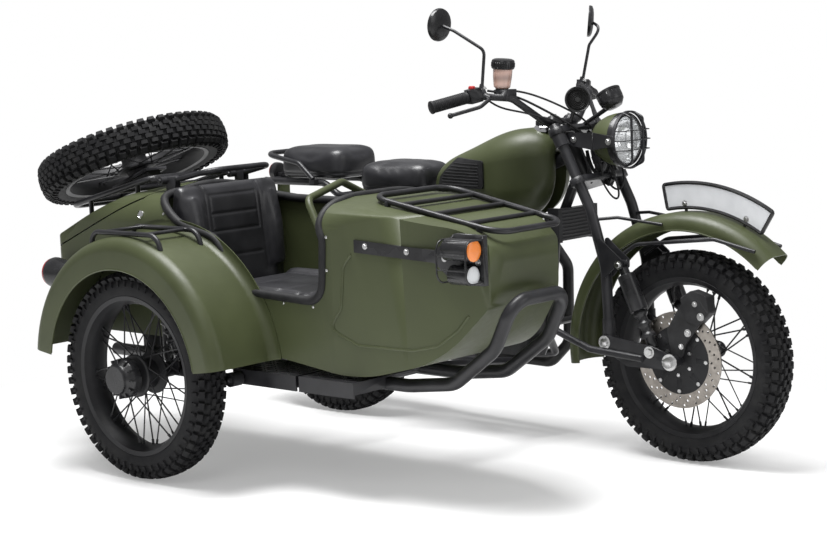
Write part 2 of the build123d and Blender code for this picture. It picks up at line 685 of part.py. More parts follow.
def drive_chain():
    """The chain's loop round both sprockets, on the left."""
    front, rear = (-985, 396, 30), (REAR_AXLE[0], REAR_AXLE[2], SPROCKET_RADIUS + 1)
    shells = []
    left_side = Plane.XZ.offset(-(CHAIN_Y + CHAIN_WIDTH / 2))
    for grow in (0, 9):
        circles = [Pos(x, z) * CenterArc((0, 0), radius + grow, 0, 360) for x, z, radius in (front, rear)]
        shells.append(extrude(left_side * make_face(make_hull(circles)), amount=CHAIN_WIDTH))
    loop = shells[1] - shells[0]
    small = rod((front[0], CHAIN_Y - 3, front[1]), (front[0], CHAIN_Y + 3, front[1]), front[2])
    return loop + small


nodes["drive_chain"] = drive_chain()


def swinging_arm():
    """Two tubes from the pivot to the rear axle, the axle and the bosses of the dampers."""
    px, pz = SWING_PIVOT
    ax, az = REAR_AXLE[0], REAR_AXLE[2]
    arm = tube(((px, 62, pz), (-1160, 84, 384), (-1300, 110, 358), (ax, 110, az)), 16, (60, 60))
    arm += rod((ax, 94, az), (ax, 126, az), 24)
    arm += rod((SHOCK_FOOT[0], 110, SHOCK_FOOT[1]), (SHOCK_FOOT[0], SHOCK_Y + 9, SHOCK_FOOT[1]), 8)
    arm += side_plate(((-1420, 335), (-1440, 376), (-1484, 376), (-1500, 335)), 118, 102, bends=8)
    pivot = rod((px, -83, pz), (px, 83, pz), 18)
    axle = rod((ax, -130, az), (ax, 130, az), AXLE_RADIUS)
    nuts = nut(ax, 126, az, 30, 12) + nut(ax, -126, az, 30, 12)
    return both_sides(arm) + pivot + axle + nuts - rod((px, -120, pz), (px, 120, pz), 8)


nodes["swinging_arm"] = swinging_arm() - nodes["motorcycle_frame"]


def rear_dampers():
    """Two dampers from the seat rails to the swinging arm."""
    one = damper(SHOCK_TOP, SHOCK_FOOT, SHOCK_Y)
    for (x, z), radius in ((SHOCK_TOP, 9), (SHOCK_FOOT, 8)):
        one -= rod((x, 0, z), (x, 200, z), radius)
    return both_sides(one)


nodes["rear_dampers"] = rear_dampers()


def rear_mudguard():
    """The arched guard over the rear wheel, hung from the seat rails' cross tubes."""
    radius = 418
    guard = Pos(*REAR_AXLE) * wheel_guard(radius, 72, 48, 38, 22, 172)
    for x, tube_height in ((CROSS_TUBE_XS[0], SEAT_RAIL_HEIGHT), (CROSS_TUBE_XS[1], REAR_RAIL_HEIGHT)):
        crown = REAR_AXLE[2] + (radius**2 - (x - REAR_AXLE[0]) ** 2) ** 0.5
        guard += block((x - 12, x + 12), (-20, 20), (crown - 4, tube_height - CROSS_TUBE_RADIUS - SEAT_GAP))
    return guard


nodes["rear_mudguard"] = rear_mudguard()

TANK_SECTIONS = (
    # x, half width, bottom, top, corner radius
    (-492, 40, 872, 955, 34),
    (-532, 88, 772, 1005, 76),
    (-612, 122, 735, 1019, 98),
    (-722, 126, 748, 991, 92),
    (-852, 98, 782, 941, 66),
    (-985, 40, 802, 856, 24),
)


def tank_body(grow=0):
    """The drop-shaped body of the tank, through rounded sections along X."""
    faces = []
    for x, half_width, bottom, top, corner in TANK_SECTIONS:
        place = Plane(origin=(x, 0, (bottom + top) / 2), x_dir=(0, 1, 0), z_dir=(1, 0, 0))
        width, height = 2 * (half_width + grow), top - bottom + 2 * grow
        faces.append(place * RectangleRounded(width, height, corner + grow * 0.5))
    return loft(faces)


def fuel_tank():
    """The tank, with the tunnel for the backbone under it."""
    tunnel = side_plate(((-440, 690), (-440, 966), (-640, 892), (-1040, 817), (-1040, 690)), 27, -27)
    seat_end = block((-1040, -928), (-60, 60), (700, 822))
    return tank_body() - tunnel - seat_end - rod(head_point(-10), head_point(160), HEAD_TUBE_RADIUS + 3)


nodes["fuel_tank"] = fuel_tank()

PAD_OUTLINE = ((-948, 822), (-930, 862), (-846, 926), (-706, 920), (-706, 830))


def knee_pads():
    """Two rubber pads that follow the rear sides of the tank."""
    region = side_plate(PAD_OUTLINE, 200, 45, bends=12)
    pad = (tank_body(grow=7) & region) - tank_body()
    return both_sides(pad)


nodes["knee_pads"] = knee_pads()


def fuel_cap():
    """The round cap with its bayonet rim on top of the tank."""
    cap = rod((-552, 0, 1006), (-549, 0, 1034), 31) + rod((-549, 0, 1034), (-548, 0, 1044), 26)
    return cap - tank_body()


nodes["fuel_cap"] = fuel_cap()


def saddle(corners, bend, bottom, top, round_over):
    """A soft pad drawn in plan, its upper edge rounded over."""
    outline = make_face(FilletPolyline(*corners, radius=bend, close=True))
    pad = extrude(Plane.XY.offset(bottom) * outline, amount=top - bottom)
    return fillet(pad.faces().sort_by(Axis.Z)[-1].edges(), round_over)


SADDLE_BEND = 50
ROUND_OVER = 30
RIDER_OUTLINE = ((-1284, -128), (-1284, 128), (-1004, 84), (-1004, -84))
PILLION_OUTLINE = ((-1672, -108), (-1672, 108), (-1366, 112), (-1366, -112))
SADDLE_BOTTOM = SEAT_RAIL_HEIGHT + SEAT_RAIL_RADIUS + SEAT_GAP
PILLION_BOTTOM = REAR_RAIL_HEIGHT + SEAT_RAIL_RADIUS + SEAT_GAP
SADDLE_TOP = SEAT_RAIL_HEIGHT + 116
PILLION_TOP = REAR_RAIL_HEIGHT + 120
nodes["rider_saddle"] = saddle(RIDER_OUTLINE, SADDLE_BEND, SADDLE_BOTTOM, SADDLE_TOP, ROUND_OVER)
nodes["pillion_saddle"] = saddle(PILLION_OUTLINE, SADDLE_BEND, PILLION_BOTTOM, PILLION_TOP, ROUND_OVER)


def grab_rail():
    """The rail round the back of the pillion saddle."""
    foot = REAR_RAIL_HEIGHT + 14
    half = ((-1480, -124, foot), (-1545, -124, foot + 54), (-1730, -110, foot + 84))
    path = (*half, *[(x, -y, z) for x, y, z in reversed(half)])
    lugs = [block((-1492, -1468), (side * 110, side * 132), (foot - 22, foot - 2)) for side in (-1, 1)]
    return (tube(path, 9, (40, 60, 60, 40)) + lugs[0] + lugs[1]) - nodes["motorcycle_frame"]


nodes["grab_rail"] = grab_rail()


def tail_lamp():
    """A round lamp behind the seat rails' rear cross tube."""
    x, z = CROSS_TUBE_XS[1], REAR_RAIL_HEIGHT + 24
    seat = REAR_RAIL_HEIGHT + CROSS_TUBE_RADIUS + SEAT_GAP
    lamp = rod((x - 12, 0, z), (x - 48, 0, z), 34)
    return lamp + block((x - 18, x + 10), (-16, 16), (seat, z - 4)) - nodes["motorcycle_frame"]


nodes["tail_lamp"] = tail_lamp()


def side_covers():
    """The panels below the saddle on both sides."""
    outline = ((-1020, 560), (-1010, 752), (-1240, 752), (-1215, 600))
    return both_sides(side_plate(outline, 121, 115, bends=22))


nodes["side_covers"] = side_covers()


# ---- sidecar tub ------------------------------------------------------------------------------------
SHOULDER_RADIUS = 88


def drawn_in(outline, inset):
    """The face inside an outline, drawn in by a wall's thickness."""
    face = make_face(outline)
    return make_face(offset(face, -inset).edges()) if inset else face


def tub_hull(inset=0):
    """The closed outer form: what the side view, the plan and the cross section have in common."""
    side = FilletPolyline(
        (-1800, 420),
        (TUB_TAIL, 640),
        (-1880, 706),
        (-1490, DECK_CREST + 12),
        (-1400, DECK_CREST + 12),
        (COCKPIT_FRONT, DECK_CREST),
        (-190, 798),
        (TUB_NOSE, 735),
        (TUB_NOSE - 16, 600),
        (-250, 424),
        (-520, TUB_FLOOR),
        (-1000, 416),
        radius=(70, 90, 30, 120, 120, 700, 200, 55, 190, 300, 500, 300),
        close=True,
    )
    left_of_wall = Plane.XZ.offset(-FAR_WALL - 50)
    side_form = extrude(left_of_wall * drawn_in(side, inset), amount=2 * TUB_HALF_WIDTH + 100)
    near, far = -TUB_HALF_WIDTH, TUB_HALF_WIDTH
    # the plan's straight runs pass just outside the cross section, which sets the width there
    plan = FilletPolyline(
        (TUB_TAIL, near - 3),
        (-640, near - 3),
        (-290, near + 32),
        (TUB_NOSE, near + 128),
        (TUB_NOSE, far - 128),
        (-290, far - 32),
        (-640, far + 3),
        (TUB_TAIL, far + 3),
        radius=(70, 900, 420, 60, 60, 420, 900, 70),
        close=True,
    )
    plan_form = extrude(Plane.XY.offset(300) * Pos(0, TUB_MIDDLE) * drawn_in(plan, inset), amount=700)
    section = FilletPolyline(
        (near, 330),
        (near, DECK_CREST - 26),
        (0, DECK_CREST + 14),
        (far, DECK_CREST - 26),
        (far, 330),
        radius=(30, SHOULDER_RADIUS, 500, SHOULDER_RADIUS, 30),
        close=True,
    )
    across = Plane(origin=(TUB_TAIL - 60, TUB_MIDDLE, 0), x_dir=(0, 1, 0), z_dir=(1, 0, 0))
    section_form = extrude(across * drawn_in(section, inset), amount=-TUB_TAIL + 200)
    return side_form & plan_form & section_form


# the rim of the opening, from the back of the seat round to the deck: (x, z)
COCKPIT_REAR = -1395
NEAR_RIM = (
    (COCKPIT_REAR, 1000),
    (COCKPIT_REAR, 862),
    (-1250, 776),
    (-1090, 742),
    (-975, SILL_HEIGHT + 6),
    (-650, SILL_HEIGHT - 8),
    (-638, 758),
    (COCKPIT_FRONT, 800),
    (COCKPIT_FRONT, 1000),
)
NEAR_BENDS = (0, 20, 200, 90, 70, 60, 30, 15, 0)
FAR_RIM = (
    (COCKPIT_REAR, 1000),
    (COCKPIT_REAR, 826),
    (-1250, 812),
    (-900, 806),
    (COCKPIT_FRONT, 815),
    (COCKPIT_FRONT, 1000),
)
FAR_BENDS = (0, 20, 200, 300, 20, 0)
outer_hull = tub_hull()
inner_hull = tub_hull(TUB_WALL)
LID_SEAM = ((LID_FRONT, 940), (LID_FRONT - 14, 846), (-1600, 786), (-1960, 634))


def above_seam(gap):
    """Everything behind and above the lid's seam, drawn in from it by a gap."""
    (x0, z0), (x1, z1), (x2, z2), (x3, z3) = LID_SEAM
    outline = ((x0 - gap, z0), (x1 - gap, z1 + gap), (x2, z2 + gap), (x3, z3 + gap), (x3, z0))
    return side_plate(outline, FAR_WALL + 60, NEAR_WALL - 60)


def sidecar_tub():
    """The open shell, with the bulkhead behind the seat."""
    shell = outer_hull - inner_hull
    bulkhead = block((BULKHEAD_X - TUB_WALL, BULKHEAD_X), (NEAR_WALL - 10, FAR_WALL + 10), (330, 940))
    bulkhead &= inner_hull
    near_cut = side_plate(NEAR_RIM, TUB_MIDDLE, NEAR_WALL - 60, bends=NEAR_BENDS)
    far_cut = side_plate(FAR_RIM, FAR_WALL + 60, TUB_MIDDLE, bends=FAR_BENDS)
    return shell - near_cut - far_cut - above_seam(0) + bulkhead


nodes["sidecar_tub"] = sidecar_tub()


def boot_lid():
    """The rear deck behind the seat: the skin of the tub's form above the seam."""
    return (outer_hull - inner_hull) & above_seam(LID_GAP)


nodes["boot_lid"] = boot_lid()

BEADING = 9
BEADING_GRIP = 4


def cockpit_rim():
    """The rubber beading that grips the edge of the opening all round."""
    thick = tub_hull(-BEADING_GRIP) - tub_hull(TUB_WALL + BEADING_GRIP)
    pieces = []
    for rim, bends, y_high, y_low in (
        (NEAR_RIM, NEAR_BENDS, TUB_MIDDLE, NEAR_WALL - 60),
        (FAR_RIM, FAR_BENDS, FAR_WALL + 60, TUB_MIDDLE),
    ):
        opening = Plane.XZ.offset(-y_high) * side_face(rim, bends)
        outside = extrude(make_face(offset(opening, BEADING).edges()), amount=y_high - y_low)
        inside = extrude(make_face(offset(opening, -BEADING).edges()), amount=y_high - y_low)
        pieces.append((thick & outside) - inside)
    return pieces[0] + pieces[1] - nodes["sidecar_tub"]


nodes["cockpit_rim"] = cockpit_rim()


def grab_hoop():
    """The passenger's hoop, from the near corner of the deck across to the far rim."""
    path = (
        (COCKPIT_FRONT, NEAR_WALL + 14, DECK_CREST - 92),
        (COCKPIT_FRONT - 68, NEAR_WALL + 35, DECK_CREST - 4),
        (COCKPIT_FRONT - 150, TUB_MIDDLE + 5, DECK_CREST + 26),
        (COCKPIT_FRONT - 238, FAR_WALL - 8, DECK_CREST - 56),
    )
    return tube(path, BAR_RADIUS, (45, 70)) - nodes["cockpit_rim"] - nodes["sidecar_tub"]


nodes["grab_hoop"] = grab_hoop()


def nose_rack():
    """The luggage rack on the nose: a loop with three slats, on four short posts."""
    fall, level = 0.1897, 0.9819
    slope = Plane(origin=(-335, TUB_MIDDLE + 36, 829), x_dir=(level, 0, -fall), z_dir=(fall, 0, level))
    half_length, half_width = 232, 172
    narrow = half_width - 20
    corners = ((-half_length, -half_width), (half_length, -narrow), (half_length, narrow), (-half_length, half_width))
    outline = slope * FilletPolyline(*corners, radius=60, close=True)
    start = Plane(origin=outline @ 0, z_dir=outline % 0)
    rack = sweep(start * Circle(9), path=outline)
    slat = Rot(90, 0, 0) * Cylinder(7, 2 * half_width - 16)
    slats = [slope * Pos(along, 0, 0) * slat for along in (-120, 0, 120)]
    posts = []
    for along, across in ((-165, -half_width), (-165, half_width), (165, -half_width + 16), (165, half_width - 16)):
        top = slope.from_local_coords((along, across, 0))
        posts.append(rod((top.X, top.Y, 640), (top.X, top.Y, top.Z), 9))
    return rack.fuse(*slats, *posts) - outer_hull


nodes["nose_rack"] = nose_rack()


SEAT_MARGIN = 42


def seat_cushion():
    """The passenger's cushion on the floor of the tub."""
    outline = ((-1262, 436), (-1262, 585), (-775, 575), (-762, 420))
    return side_plate(outline, FAR_WALL - SEAT_MARGIN, NEAR_WALL + SEAT_MARGIN, bends=(10, 30, 40, 10))


nodes["seat_cushion"] = seat_cushion()


def seat_back():
    """The passenger's backrest, leaning on the bulkhead."""
    face = ((-1266, 592), (-1300, 886))
    back = ((-1356, 886), (-1368, 820), (-1448, 690), (-1448, 470), (-1266, 470))
    return side_plate((*face, *back), FAR_WALL - 88, NEAR_WALL + 104, bends=(10, 22, 22, 20, 40, 20, 5))


nodes["seat_back"] = seat_back()

# ---- sidecar mudguard, steps and lamps ---------------------------------------------------------------
CROWN_RADIUS = 432


def sidecar_mudguard():
    """The arched guard, its valance outside the wheel and its flange against the tub."""
    low, lip, wall = -98, 335, WHEEL_BESIDE_TUB - SEAT_GAP
    flange = CROWN_RADIUS + 34
    lines = []
    for inset in (0, SHEET):
        valance, crown, against = low + inset, CROWN_RADIUS - inset, wall - SHEET + inset
        corners = ((valance, -lip), (valance, -crown), (against, -crown), (against, -flange))
        lines.append(FilletPolyline(*corners, radius=(44 - inset, 28 + inset)))
    over, under = lines
    ends = [Line(over @ 0, under @ 0), Line(over @ 1, under @ 1)]
    across = Plane(origin=(0, 0, 0), x_dir=(0, 1, 0), z_dir=(0, 0, 1))
    face = across * make_face([*over.edges(), *under.edges(), *ends])
    first, last = 8, 172
    guard = Pos(*SIDE_AXLE) * Rot(0, -last, 0) * revolve(face, axis=Axis.Y, revolution_arc=last - first)
    return guard - nodes["cockpit_rim"]


nodes["sidecar_mudguard"] = sidecar_mudguard()


def mudguard_rack():
    """Two hoops along the top of the guard, tied together, with bolted feet."""
    rear, front = SIDECAR_WHEEL_X - 149, SIDECAR_WHEEL_X + 167
    top = TYRE_RADIUS + CROWN_RADIUS + 9
    outer, inner = -SIDECAR_TRACK - 54, NEAR_WALL - 35
    shapes = []
    for y in (outer, inner):
        hoop = ((rear, y, top - 78), (rear, y, top), (front, y, top), (front, y, top - 108))
        shapes.append(tube(hoop, 8, (36, 48)))
    for x in (rear + 53, front - 68):
        shapes.append(rod((x, outer, top), (x, inner, top), 6))
    shapes.append(block((front - 3, front + 20), (outer - 4, inner + 4), (top - 60, top - 55)))
    near_edge, far_edge = -66, WHEEL_BESIDE_TUB - 3
    radius = CROWN_RADIUS + SEAT_GAP
    drum = turned(((near_edge, 0), (far_edge, 0), (far_edge, radius), (near_edge, radius)), SIDE_AXLE)
    return shapes[0].fuse(*shapes[1:]) - drum - nodes["sidecar_mudguard"]


nodes["mudguard_rack"] = mudguard_rack()


LAMP_STRIP = ((-520, NEAR_WALL + 9), (-290, NEAR_WALL + 30), (-70, NEAR_WALL + 45))
LAMP_BACK = NEAR_WALL + 38
WIRE_RADIUS = 2.5


def side_lamps():
    """The strip along the tub's side with the turn lamp, the lamp below it and their wire guard."""
    near = [(x, y - 5) for x, y in LAMP_STRIP]
    inner = [(x, y + 12) for x, y in reversed(LAMP_STRIP)]
    band = extrude(Plane.XY.offset(600) * make_face(Polyline(*near, *inner, close=True)), amount=250)
    upper = ((-520, 762), (-240, 742), (-170, 792), (-72, 790))
    lower = ((-72, 652), (-170, 652), (-240, 708), (-520, 726))
    strip = (band & side_plate((*upper, *lower), NEAR_WALL + 90, NEAR_WALL - 40)) - outer_hull
    shapes = [strip]
    # lamp: z, radius, rear, front
    for z, radius, rear, front in ((752, 31, -172, -84), (683, 27, -158, -92)):
        y = LAMP_BACK - radius
        shapes.append(rod((rear, y, z), (front, y, z), radius))
    root, reach = LAMP_BACK + 3, LAMP_BACK - 72
    wires = (-178, -76)
    for x in wires:
        bow = ((x, root, 780), (x, reach, 780), (x, reach, 662), (x, root, 662))
        shapes.append(tube(bow, WIRE_RADIUS, (30, 30)))
    for z in (740, 700):
        shapes.append(rod((wires[0], reach, z), (wires[1], reach, z), WIRE_RADIUS - 0.5))
    return shapes[0].fuse(*shapes[1:])


nodes["side_lamps"] = side_lamps()


def sidecar_tail_lamp():
    """A round lamp facing back beside the tub's tail, on its arm."""
    y, z, radius = NEAR_WALL - 54, 602, 50
    lamp = rod((-1838, y, z), (-1700, y, z), radius)
    arm = block((-1760, -1720), (y + radius - 6, NEAR_WALL - SEAT_GAP), (z - 17, z + 18))
    return lamp + arm


nodes["sidecar_tail_lamp"] = sidecar_tail_lamp()

# ---- sidecar chassis -----------------------------------------------------------------------------------


def sidecar_chassis():
    """Rails with the nose bumper, crossbars, struts to the motorcycle and the damper's upright."""
    rail = RAIL_HEIGHT
    path = (
        (-1760, NEAR_RAIL_Y, rail),
        (-450, NEAR_RAIL_Y, rail),
        (-280, NEAR_RAIL_Y + 5, rail + 20),
        (-120, NEAR_RAIL_Y - 5, 460),
        (-50, NEAR_RAIL_Y - 5, 600),
        (-50, FAR_RAIL_Y - 5, 600),
        (-120, FAR_RAIL_Y - 5, 460),
        (-280, FAR_RAIL_Y, rail + 20),
        (-450, FAR_RAIL_Y, rail),
        (-1760, FAR_RAIL_Y, rail),
    )
    shapes = [tube(path, RAIL_RADIUS, (300, 90, 90, 60, 60, 90, 90, 300))]
    for x, floor in ((-620, 400), (-1150, 440), (-1600, 440)):
        shapes.append(rod((x, NEAR_RAIL_Y, rail), (x, FAR_RAIL_Y, rail), CROSSBAR_RADIUS))
        for y in (NEAR_RAIL_Y + 30, FAR_RAIL_Y - 30):
            shapes.append(block((x - 25, x + 25), (y - 25, y + 25), (rail, floor)))
    # the struts end on the cradle tubes, on the down tube and on the seat rail
    shapes.append(rod((-620, FAR_RAIL_Y, rail), (-650, -FRAME_Y - 2, CRADLE_HEIGHT + 3), CROSSBAR_RADIUS))
    shapes.append(rod((-1150, FAR_RAIL_Y, rail), (-1050, -FRAME_Y, CRADLE_HEIGHT + 30), CROSSBAR_RADIUS))
    shapes.append(tube(((-720, FAR_RAIL_Y - 5, rail), (-700, -380, rail + 20), (-529, 0, 612)), STRUT_RADIUS, 60))
    seat_rail = (-1300, -FRAME_Y, SEAT_RAIL_HEIGHT - 4)
    shapes.append(tube(((-1300, FAR_RAIL_Y - 5, rail), (-1300, -386, rail + 20), seat_rail), STRUT_RADIUS, 60))
    x, z = SIDE_DAMPER_TOP
    shapes.append(tube(((x, NEAR_RAIL_Y, rail), (x, UPRIGHT_Y, rail), (x, UPRIGHT_Y, z + 14)), 10, 40))
    shapes.append(rod((x, UPRIGHT_Y, z), (x, ARM_Y - 12, z), EYE_PIN_RADIUS))
    shapes.append(rod((ARM_PIVOT_X, NEAR_RAIL_Y, rail), (ARM_PIVOT_X, ARM_Y - 30, rail), 12))
    whole = shapes[0].fuse(*shapes[1:])
    return whole - outer_hull - nodes["motorcycle_frame"]


nodes["sidecar_chassis"] = sidecar_chassis()


def foot_steps():
    """Two treads beside the tub, resting on the near rail, their edges rolled down."""
    shapes = []
    floor = RAIL_HEIGHT + RAIL_RADIUS + SEAT_GAP
    thick = 6
    top = floor + thick
    edge, clear_of_rail = NEAR_WALL - 22, NEAR_RAIL_Y - RAIL_RADIUS - 4
    for rear, front in ((-1020, -752), (-740, -520)):
        sheet = block((rear, front), (edge, NEAR_RAIL_Y + RAIL_RADIUS), (floor, top))
        skirts = [
            block((rear, front), (edge, edge + thick), (floor - 40, top)),
            block((rear, rear + thick), (edge, clear_of_rail), (floor - 30, top)),
            block((front - thick, front), (edge, clear_of_rail), (floor - 30, top)),
        ]
        shapes.append(sheet.fuse(*skirts))
    return shapes[0] + shapes[1] - nodes["sidecar_chassis"]


nodes["foot_steps"] = foot_steps()


def sidecar_arm():
    """The trailing arm from the outrigger to the stub axle, with the damper's lugs."""
    x, z = SIDECAR_WHEEL_X, TYRE_RADIUS
    arm = rod((ARM_PIVOT_X, ARM_Y, RAIL_HEIGHT), (x, ARM_Y, z), 15)
    arm += rod((ARM_PIVOT_X, ARM_Y - 20, RAIL_HEIGHT), (ARM_PIVOT_X, ARM_Y + 20, RAIL_HEIGHT), 22)
    arm += rod((x, ARM_Y - 22, z), (x, ARM_Y + 20, z), 24)
    arm += rod((x, ARM_Y, z), (x, -SIDECAR_TRACK - HUB_HALF_WIDTH + 1, z), AXLE_RADIUS)
    foot_x, foot_z = SIDE_DAMPER_FOOT
    lug = ((foot_x - 18, z), (foot_x - 14, foot_z + 12), (foot_x + 14, foot_z + 12), (foot_x + 18, z))
    for y in (ARM_Y - 18, ARM_Y + 18):
        arm += side_plate(lug, y + 2, y - 2)
    arm += rod((foot_x, ARM_Y - 20, foot_z), (foot_x, ARM_Y + 20, foot_z), EYE_PIN_RADIUS)
    arm += rod((foot_x, ARM_Y - 20, z + 2), (foot_x, ARM_Y + 20, z + 2), 9)
    return arm - rod((ARM_PIVOT_X, ARM_Y - 40, RAIL_HEIGHT), (ARM_PIVOT_X, ARM_Y + 40, RAIL_HEIGHT), 12)


nodes["sidecar_arm"] = sidecar_arm()


def sidecar_damper():
    """The spring damper of the sidecar wheel."""
    one = damper(SIDE_DAMPER_TOP, SIDE_DAMPER_FOOT, ARM_Y)
    for x, z in (SIDE_DAMPER_TOP, SIDE_DAMPER_FOOT):
        one -= rod((x, ARM_Y - 40, z), (x, ARM_Y + 40, z), EYE_PIN_RADIUS)
    return one


nodes["sidecar_damper"] = sidecar_damper()

# ---- lid hinge and spare wheel carrier -------------------------------------------------------------------
HINGE_PIN_RADIUS = 6
KNUCKLE_RADIUS = 13
HINGE_Y = (TUB_MIDDLE - 130, TUB_MIDDLE + 170)


def lid_hinge():
    """Two hinge blocks on the deck with their pins, and the loop ahead of them."""
    x, z = LID_HINGE
    shapes = []
    for y in HINGE_Y:
        shapes.append(rod((x, y - 12, z), (x, y + 12, z), KNUCKLE_RADIUS))
        shapes.append(rod((x, y - 40, z), (x, y + 40, z), HINGE_PIN_RADIUS))
        shapes.append(block((x, x + 42), (y - 12, y + 12), (z - 60, z + 12)))
    low, high = HINGE_Y
    loop = ((x + 30, low, z), (-1262, low + 12, 932), (-1262, high - 12, 932), (x + 30, high, z))
    shapes.append(tube(loop, 9, (60, 60)))
    return shapes[0].fuse(*shapes[1:]) - outer_hull


nodes["lid_hinge"] = lid_hinge()


def spare_carrier():
    """The tubular carrier on the lid, hinged at its front, with the spare wheel's centre bolt."""
    x, z = LID_HINGE
    low, high = HINGE_Y
    front_x, front_z, rear_x, rear_z = x - 50, z + 6, -1918, 800
    near, far = low - 34, high + 34
    corners = ((front_x, near, front_z), (rear_x, near, rear_z), (rear_x, far, rear_z), (front_x, far, front_z))
    outline = FilletPolyline(*corners, radius=(25, 60, 60, 25), close=True)
    carrier = sweep(Plane(origin=outline @ 0, z_dir=outline % 0) * Circle(10), path=outline)
    for y in HINGE_Y:
        for side in (-1, 1):
            middle = y + side * 26
            carrier += rod((x, middle - 11, z), (x, middle + 11, z), KNUCKLE_RADIUS)
            carrier += block((front_x - 2, x - 9), (middle - 6, middle + 6), (z - 3, z + 9))
    slope = (front_z - rear_z) / (front_x - rear_x)
    for leg_x in (-1560, -1800):
        for y in (near, far):
            carrier += rod((leg_x, y, 640), (leg_x, y, rear_z + slope * (leg_x - rear_x)), 8)
    cross = [(cross_x, rear_z + slope * (cross_x - rear_x)) for cross_x in (-1836, -1684)]
    for cross_x, cross_z in cross:
        carrier += rod((cross_x, near, cross_z), (cross_x, far, cross_z), 9)
    hub = spare_turn * Rot(-90, 0, 0)
    foot = -HUB_HALF_WIDTH - SEAT_GAP
    carrier += hub * Pos(0, 0, foot - 5) * Box(190, 90, 10)
    web = side_plate((*cross, (-1690, 913), (-1836, 858)), SPARE_PLACE[1] + 28, SPARE_PLACE[1] - 28)
    carrier += web
    carrier += hub * Pos(0, 0, 5) * Cylinder(AXLE_RADIUS, 2 * HUB_HALF_WIDTH + 30)
    carrier += hub * Pos(0, 0, HUB_HALF_WIDTH + SEAT_GAP + 7) * Cylinder(24, 14)
    pins = rod((x, low - 60, z), (x, high + 60, z), HINGE_PIN_RADIUS + RUNNING_FIT)
    return carrier - outer_hull - pins


nodes["spare_carrier"] = spare_carrier()

# ---- the origin goes to the ground under the middle of the whole -----------------------------------------
extent = Compound(children=[Compound(shape.solids()) for shape in nodes.values()]).bounding_box()
MOVE = (-(extent.min.X + extent.max.X) / 2, -(extent.min.Y + extent.max.Y) / 2, -extent.min.Z)

os.makedirs("parts", exist_ok=True)
for name, shape in nodes.items():
    export_step(Pos(*MOVE) * shape, f"parts/{name}.step")
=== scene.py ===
import json
from math import cos, pi, radians, sin, sqrt, tan, tau

import bmesh
import bpy
from mathutils import Matrix, Vector
from mathutils.bvhtree import BVHTree


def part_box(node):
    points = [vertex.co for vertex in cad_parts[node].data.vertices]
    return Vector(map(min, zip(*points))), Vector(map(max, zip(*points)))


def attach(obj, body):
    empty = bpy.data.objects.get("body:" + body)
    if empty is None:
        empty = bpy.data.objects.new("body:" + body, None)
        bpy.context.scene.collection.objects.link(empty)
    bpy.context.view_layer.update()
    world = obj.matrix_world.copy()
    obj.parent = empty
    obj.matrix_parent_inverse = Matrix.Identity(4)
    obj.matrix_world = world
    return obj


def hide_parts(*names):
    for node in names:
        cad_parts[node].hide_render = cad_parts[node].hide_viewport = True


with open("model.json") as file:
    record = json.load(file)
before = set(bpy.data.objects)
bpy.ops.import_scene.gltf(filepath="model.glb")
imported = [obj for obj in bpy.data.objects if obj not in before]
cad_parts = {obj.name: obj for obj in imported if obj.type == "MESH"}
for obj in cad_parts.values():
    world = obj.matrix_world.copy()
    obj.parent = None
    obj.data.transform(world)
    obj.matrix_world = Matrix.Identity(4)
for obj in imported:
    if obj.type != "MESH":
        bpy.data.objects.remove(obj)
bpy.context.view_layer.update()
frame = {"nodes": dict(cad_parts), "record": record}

# The looks of a motorcycle with a sidecar: metres, X forward, Y to the left, Z up.
# Profiles, blocks, radii, bevels and places given to at() are in millimetres.

# ---- places taken from the frame ----
MILLIMETRE = 0.001


def middle(node):
    """The middle of a node's box."""
    low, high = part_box(node)
    return (low + high) / 2


FRONT_AXLE = middle("front_tyre")
TYRE_SIZE = (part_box("front_tyre")[1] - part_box("front_tyre")[0]) / MILLIMETRE
TYRE_RADIUS = TYRE_SIZE.z / 2
NODE_SLOT = {part["node"]: part["material_slot"] for part in frame["record"]["subparts"]}
BODY_OF = {node: body for body, held in frame["record"]["behaviour"]["bodies"].items() for node in held}


def span(x, y, z):
    """A vector in metres from its parts in millimetres."""
    return Vector((x, y, z)) * MILLIMETRE


def at(x, y, z):
    """A place measured in millimetres from the ground under the front axle."""
    return Vector((FRONT_AXLE.x, FRONT_AXLE.y, 0)) + span(x, y, z)


# ---- nodes of materials, of the surroundings and of geometry ----
def feed(tree, socket, value):
    """Links a value to a socket, or sets it there if it is the same all over."""
    if isinstance(value, (Value, bpy.types.NodeSocket)):
        tree.links.new(getattr(value, "socket", value), socket)
    else:
        socket.default_value = value


def add_node(tree, kind, settings=None, values=None):
    """Adds a node, sets its settings and then the values or links of its sockets."""
    node = tree.nodes.new(kind if kind.startswith(("Geometry", "Node")) else "ShaderNode" + kind)
    for setting, value in (settings or {}).items():
        setattr(node, setting, value)
    for socket, value in (values or {}).items():
        feed(tree, node.inputs[socket], value)
    return node


class Value:
    """A number that varies over a surface. Arithmetic on it adds the nodes that work it out."""

    def __init__(self, finish, socket):
        self.finish, self.socket = finish, socket

    def _worked(self, operation, other):
        node = self.finish.node("Math", {"operation": operation}, {0: self, 1: other})
        return Value(self.finish, node.outputs[0])

    def __add__(self, other):
        return self._worked("ADD", other)

    __radd__ = __add__

    def __sub__(self, other):
        return self._worked("SUBTRACT", other)

    def __mul__(self, other):
        return self._worked("MULTIPLY", other)

    def over(self, low, high):
        """Rises from 0 at the low value to 1 at the high one."""
        node = self.finish.node("MapRange", None, {"Value": self, "From Min": low, "From Max": high})
        return Value(self.finish, node.outputs["Result"])


